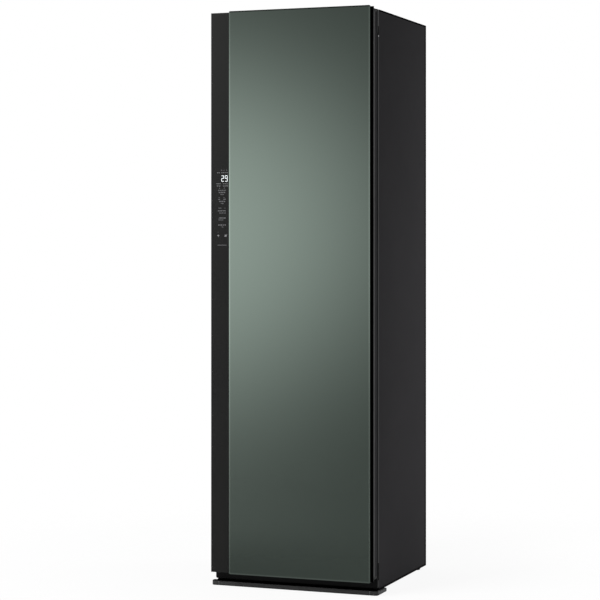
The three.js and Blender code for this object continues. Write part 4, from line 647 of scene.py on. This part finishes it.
def make_hinge_marks():
    """Dark hinge covers on the frame's right edge, the upper one with its screw head."""
    lo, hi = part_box("front_frame")
    sunk, proud, rear = 0.0001, 0.0003, lo.y + 0.0096
    for name, front, z0, z1 in [("upper", 0.0036, 1.8660, 1.8950), ("lower", 0.0016, 0.0480, 0.1050)]:
        slab("hinge_cover_" + name, (hi.x - sunk, lo.y + front, z0), (hi.x + proud, rear, z1), MAT["trim_and_shade"],
             "cabinet")
    screw_back, screw_height = 0.0062, 1.8625
    screw_place = (hi.x, lo.y + screw_back, screw_height)
    bm = bmesh.new()
    lathe(bm, [(0, -0.0001), (0.0021, -0.0001), (0.0021, 0.0005), (0.0016, 0.0009), (0, 0.0009)], screw_place,
          "X", 24)
    new_object("hinge_screw_upper", bm, MAT["steel"], "cabinet", 35)


def make_rear_screws():
    """Pan head screws round the rear panel."""
    lo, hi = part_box("rear_panel")
    inset, foot_room, rows = 0.009, 0.020, 9
    z0, z1 = lo.z + foot_room, hi.z - inset
    places = [(x, z0 + (z1 - z0) * i / (rows - 1)) for x in (lo.x + inset, hi.x - inset) for i in range(rows)]
    places += [(lo.x * s, z1) for s in (-0.5, 0.0, 0.5)]
    bm = bmesh.new()
    for x, z in places:
        lathe(bm, [(0, -0.0001), (0.0040, -0.0001), (0.0040, 0.0004), (0.0036, 0.0009), (0.0026, 0.0012),
                   (0.0017, 0.0012), (0.0013, 0.0004), (0, 0.0004)], (x, hi.y, z), "Y", 20)
    new_object("rear_screws", bm, MAT["steel"], "cabinet", 35)


make_plinth()
make_feet()
make_rear_screws()
make_pan_painted_shade()
make_hinge_marks()


# ---------------------------------------------------------------- round pieces of the inside
SHELF_HEIGHT = 0.1423  # underside of the shelf above the chamber's floor
CRANK_THROW = 0.0173  # from the crank's axis to its pin


def make_lids():
    """Turned tank lids: a plug inside the spout and a knurled rim."""
    rim_height, ribs, rib_radius, rib_size = 0.006, 36, 0.0315, 0.00048
    for side in ["supply", "drain"]:
        name = side + "_tank_lid"
        c = middle_of(name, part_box(name)[1].z - rim_height)
        bm = bmesh.new()
        lathe(bm, [(0.0241, -0.008), (0.0267, -0.008), (0.0267, 0.0003), (0.0318, 0.0003), (0.032, 0.0008),
                   (0.032, 0.0042), (0.0316, 0.0050), (0.0306, 0.0058), (0.0298, 0.006), (0.0168, 0.006),
                   (0.0160, 0.0056), (0.0132, 0.0044), (0.0124, 0.0040), (0.0, 0.0040)], c, "Z", 64)
        lathe(bm, [(0.0241, -0.008), (0.0241, 0.0), (0.0, 0.0)], c, "Z", 64)
        bmesh.ops.remove_doubles(bm, verts=bm.verts, dist=WELD)
        for x, y in circle(c, rib_radius, ribs):
            prism(bm, circle((x, y), rib_size, 6), c[2] + 0.0009, c[2] + 0.0041)
        obj = new_object(name + "_turned", bm, MAT["grey"], side + "_cap", 35)
        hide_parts(name)


def make_floor_fittings():
    """The steam nozzle with its dark ports and the lifting scent cap, both on the chamber's floor."""
    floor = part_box("shelf")[0].z - SHELF_HEIGHT
    c = middle_of("steam_nozzle", floor)
    bm = bmesh.new()
    lathe(bm, [(0.005, -0.025), (0.0075, -0.025), (0.0075, -0.0033), (0.0119, -0.003), (0.0119, 0.0003),
               (0.0195, 0.0003), (0.02, 0.0008), (0.02, 0.005), (0.0195, 0.0060), (0.0155, 0.0146),
               (0.0146, 0.0158), (0.0138, 0.0163), (0.0, 0.0163)], c, "Z", 64)
    lathe(bm, [(0.005, -0.025), (0.005, 0.011), (0.0, 0.011)], c, "Z", 64)
    bmesh.ops.remove_doubles(bm, verts=bm.verts, dist=WELD)
    nozzle = new_object("steam_nozzle_turned", bm, MAT["grey"], "cabinet", 35)
    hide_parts("steam_nozzle")

    port, half, port_rise = 0.0017, 0.0012, 0.0095
    bm = bmesh.new()
    for x, y in circle(c, 0.0167, 8):
        lathe(bm, [(0, -half), (port, -half), (port, half), (0, half)], (x, y, floor + port_rise), steps=16)
    new_object("steam_nozzle_ports", bm, MAT["rubber"], "cabinet", 35)

    c = middle_of("scent_cap", floor)
    bm = bmesh.new()
    lathe(bm, [(0.016, -0.018), (0.0197, -0.018), (0.02, -0.0177), (0.02, 0.0003), (0.0255, 0.0003),
               (0.026, 0.0008), (0.026, 0.0034), (0.0256, 0.0042), (0.0240, 0.0056), (0.0228, 0.006),
               (0.0, 0.006)], c, "Z", 64)
    lathe(bm, [(0.016, -0.018), (0.016, -0.004), (0.0, -0.004)], c, "Z", 64)
    bmesh.ops.remove_doubles(bm, verts=bm.verts, dist=WELD)
    reach, half = 0.0156, 0.003
    grip = rounded(c[0] - reach, c[0] + reach, c[1] - half, c[1] + half, 0.0029, 6)
    prism(bm, grip, floor + 0.003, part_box("scent_cap")[1].z)
    cap = new_object("scent_cap_turned", bm, MAT["grey"], "scent", 35)
    soften(cap, 0.0005, 2, 50)
    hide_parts("scent_cap")


def make_crank():
    """The crank disc with its hub and shaft above and its pin below."""
    lo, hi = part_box("crank_disc")
    r = (hi.x - lo.x) / 2
    cy = lo.y + r
    pin_y = cy + CRANK_THROW
    disc_gap, disc_thickness = 0.006, 0.008
    disc_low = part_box("hanger_bar")[1].z + disc_gap
    disc_high = disc_low + disc_thickness
    pin_low = lo.z
    c = (0.0, cy, 0.0)
    bm = bmesh.new()
    lathe(bm, [(0, disc_low), (r - 0.0008, disc_low), (r, disc_low + 0.0008), (r, disc_high - 0.0008),
               (r - 0.0008, disc_high), (0.0122, disc_high), (0.012, disc_high + 0.0038),
               (0.0115, disc_high + 0.004), (0.006, disc_high + 0.004), (0.006, hi.z - 0.001),
               (0.0052, hi.z), (0, hi.z)], c, "Z", 64)
    lathe(bm, [(0, pin_low), (0.0042, pin_low), (0.005, pin_low + 0.0008), (0.005, disc_low + 0.001),
               (0, disc_low + 0.001)], (0.0, pin_y, 0.0), "Z", 40)
    obj = new_object("crank_turned", bm, MAT["steel"], "crank", 35)
    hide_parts("crank_disc")


def make_hanger_bar():
    """The hanger bar with a dip for each hook, and the slotted yoke behind it for the crank's pin."""
    lo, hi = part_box("hanger_bar")
    yoke_height, bar_depth = 0.008, 0.024
    top = hi.z - yoke_height
    y0 = lo.y
    y1 = y0 + bar_depth
    yc = (y0 + y1) / 2
    bm = bmesh.new()
    first, pitch, dip_half, deep = 0.062, 0.030, 0.0045, 0.003
    profile = [(lo.x, lo.z), (hi.x, lo.z), (hi.x, top)]
    for x in sorted([s * (first + i * pitch) for s in (-1, 1) for i in range(3)], reverse=True):
        turns = [PI * k / 10 for k in range(1, 10)]
        profile += [(x + dip_half, top), (x + dip_half, top - deep)]
        profile += [(x + dip_half * math.cos(a), top - deep - deep * math.sin(a)) for a in turns]
        profile += [(x - dip_half, top - deep), (x - dip_half, top)]
    profile.append((lo.x, top))
    prism(bm, profile, y0, y1, "Y")
    obj = new_object("hanger_bar_moulded", bm, MAT["grey"], "hanger", 30)
    soften(obj, 0.0022, 4, 50)
    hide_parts("hanger_bar")

    slot_half, wall, round_end, crisp_end, sunk = 0.0066, 0.009, 0.004, 0.0005, 0.001
    reach = slot_half + wall
    near = yc + CRANK_THROW / 2 - slot_half
    far = yc + CRANK_THROW + slot_half
    bm = bmesh.new()
    outer = rounded(-reach, reach, y0 + crisp_end, far + wall, round_end, 6)
    inner = rounded(-slot_half, slot_half, near, far, slot_half * 0.96, 8)
    ring(bm, outer, inner, top - sunk, hi.z)
    radii = (crisp_end, crisp_end, round_end, round_end)
    stem = rounded(-reach, reach, yc + sunk, far + wall, radii, 6)
    prism(bm, stem, lo.z, top)
    yoke = new_object("hanger_bar_yoke", bm, MAT["grey"], "hanger", 35)
    soften(yoke, 0.0006, 2, 50)


make_lids()
make_floor_fittings()
make_crank()
make_hanger_bar()


# ---------------------------------------------------------------- floor, light, camera
GLASS_MIDDLE = (0.0, -0.3, 1.1)
FALL = 2.6  # how sharply a reflected card's glow falls off


def stage_floor():
    """A pale floor that keeps the cabinet's soft shadow and fades into the white ground."""
    radius, fade_start, fade_end, whiteness = 3.2, 0.45, 2.1, 0.90
    bm = bmesh.new()
    bmesh.ops.create_circle(bm, cap_ends=True, segments=96, radius=radius)
    mesh = bpy.data.meshes.new("floor")
    bm.to_mesh(mesh)
    bm.free()
    floor = bpy.data.objects.new("floor", mesh)
    bpy.context.scene.collection.objects.link(floor)

    n = Nodes("pale_floor")
    diffuse = n.add("ShaderNodeBsdfDiffuse")
    cloud = n.noise(1.5, 2.0)
    n.link(n.ramp(cloud, [(0.3, (0.84, 0.84, 0.84)), (0.7, (0.86, 0.86, 0.86))]), diffuse.inputs["Color"])
    white = n.add("ShaderNodeEmission")
    white.inputs["Strength"].default_value = 1.0
    lit = n.add("ShaderNodeMixShader")
    lit.inputs["Fac"].default_value = whiteness
    n.link(diffuse.outputs["BSDF"], lit.inputs[1])
    n.link(white.outputs["Emission"], lit.inputs[2])

    gradient = n.add("ShaderNodeVectorMath", operation="LENGTH")
    n.link(n.coord.outputs["Object"], gradient.inputs[0])
    fade = n.add("ShaderNodeMapRange", interpolation_type="SMOOTHERSTEP")
    fade.inputs["From Min"].default_value = fade_start
    fade.inputs["From Max"].default_value = fade_end
    n.link(gradient.outputs["Value"], fade.inputs["Value"])
    far = n.add("ShaderNodeMixShader")
    n.link(fade.outputs["Result"], far.inputs["Fac"])
    n.link(lit.outputs["Shader"], far.inputs[1])
    n.link(n.add("ShaderNodeBsdfTransparent").outputs["BSDF"], far.inputs[2])

    both = n.add("ShaderNodeMixShader")
    n.link(n.seen_ray(), both.inputs["Fac"])
    n.link(diffuse.outputs["BSDF"], both.inputs[1])
    n.link(far.outputs["Shader"], both.inputs[2])
    n.link(both.outputs["Shader"], n.out.inputs["Surface"])
    mesh.materials.append(n.mat)


def make_world(level):
    """A white background for seen rays, and a plain soft light of the given level for all others."""
    world = bpy.data.worlds.new("studio")
    bpy.context.scene.world = world
    tree = Tree(world)
    soft = tree.add("ShaderNodeBackground")
    soft.inputs["Strength"].default_value = level
    white = tree.add("ShaderNodeBackground")
    white.inputs["Color"].default_value = (1, 1, 1, 1)
    white.inputs["Strength"].default_value = 1.0
    mix = tree.add("ShaderNodeMixShader")
    tree.link(tree.seen_ray(), mix.inputs["Fac"])
    tree.link(soft.outputs["Background"], mix.inputs[1])
    tree.link(white.outputs["Background"], mix.inputs[2])
    tree.link(mix.outputs["Shader"], tree.add("ShaderNodeOutputWorld").inputs["Surface"])


def soft_card(name, centre, spread, peak, width):
    """A large soft light whose glow fades out from its middle, as peak * exp(-(r / spread) ** FALL)."""
    bm = bmesh.new()
    bmesh.ops.create_circle(bm, cap_ends=True, segments=64, radius=spread * 2.3)
    mesh = bpy.data.meshes.new(name)
    bm.to_mesh(mesh)
    bm.free()
    card = bpy.data.objects.new(name, mesh)
    bpy.context.scene.collection.objects.link(card)
    card.location = centre
    aim = Vector(GLASS_MIDDLE) - Vector(centre)
    card.rotation_mode = "QUATERNION"
    card.rotation_quaternion = aim.to_track_quat("Z", "Y")
    card.scale.x = width
    card.visible_camera = False
    card.visible_shadow = False
    n = Nodes(name + "_light")
    length = n.add("ShaderNodeVectorMath", operation="LENGTH")
    n.link(n.coord.outputs["Object"], length.inputs[0])
    power = n.add("ShaderNodeMath", operation="POWER")
    n.link(length.outputs["Value"], power.inputs[0])
    power.inputs[1].default_value = FALL
    scaled = n.add("ShaderNodeMath", operation="MULTIPLY")
    n.link(power.outputs["Value"], scaled.inputs[0])
    scaled.inputs[1].default_value = -1.0 / spread ** FALL
    bell = n.add("ShaderNodeMath", operation="EXPONENT")
    n.link(scaled.outputs["Value"], bell.inputs[0])
    strength = n.add("ShaderNodeMath", operation="MULTIPLY")
    n.link(bell.outputs["Value"], strength.inputs[0])
    strength.inputs[1].default_value = peak
    emission = n.add("ShaderNodeEmission")
    n.link(strength.outputs["Value"], emission.inputs["Strength"])
    clear = n.add("ShaderNodeBsdfTransparent")
    total = n.add("ShaderNodeAddShader")
    n.link(emission.outputs["Emission"], total.inputs[0])
    n.link(clear.outputs["BSDF"], total.inputs[1])
    n.link(total.outputs["Shader"], n.out.inputs["Surface"])
    mesh.materials.append(n.mat)


def area(name, place_at, aim_at, size, power):
    """A soft rectangular lamp, itself unseen."""
    light = bpy.data.lights.new(name, "AREA")
    light.shape = "RECTANGLE"
    light.size, light.size_y = size
    light.energy = power
    lamp = bpy.data.objects.new(name, light)
    bpy.context.scene.collection.objects.link(lamp)
    lamp.location = place_at
    lamp.rotation_mode = "QUATERNION"
    lamp.rotation_quaternion = (Vector(aim_at) - Vector(place_at)).to_track_quat("-Z", "Y")
    lamp.visible_camera = False
    lamp.visible_glossy = False


stage_floor()
make_world(0.22)
# The bright glow in the upper half of the glass, and the faint one that lifts its lower half.
soft_card("reflected_card", (-3.90, -7.64, 1.27), 1.34, 5.6, 1.24)
soft_card("reflected_glow", (-4.40, -7.90, -1.10), 1.7, 0.62, 1.0)
area("key", (-1.3, -2.1, 3.4), (0, 0, 1.3), (1.6, 1.6), 120)
area("fill", (1.3, 1.2, 0.88), (0.29, 0.15, 0.88), (0.6, 2.4), 23.5)
area("top", (0.0, 0.6, 4.6), (0, 0, 1.0), (2.2, 2.2), 60)

# A level camera with a shifted frame, fitted to the photograph's outline: its uprights stay parallel.
EYE_PLACE = (2.3374, -6.3613, 1.1858)
EYE_TURN = 0.3628
camera = bpy.data.cameras.new("camera")
camera.sensor_width = 36.0
camera.lens = 115.96
camera.shift_x = -0.0007
camera.shift_y = -0.1019
eye = bpy.data.objects.new("camera", camera)
bpy.context.scene.collection.objects.link(eye)
eye.location = EYE_PLACE
eye.rotation_euler = (math.radians(90), 0, EYE_TURN)
bpy.context.scene.camera = eye
bpy.context.scene.view_settings.view_transform = "Standard"
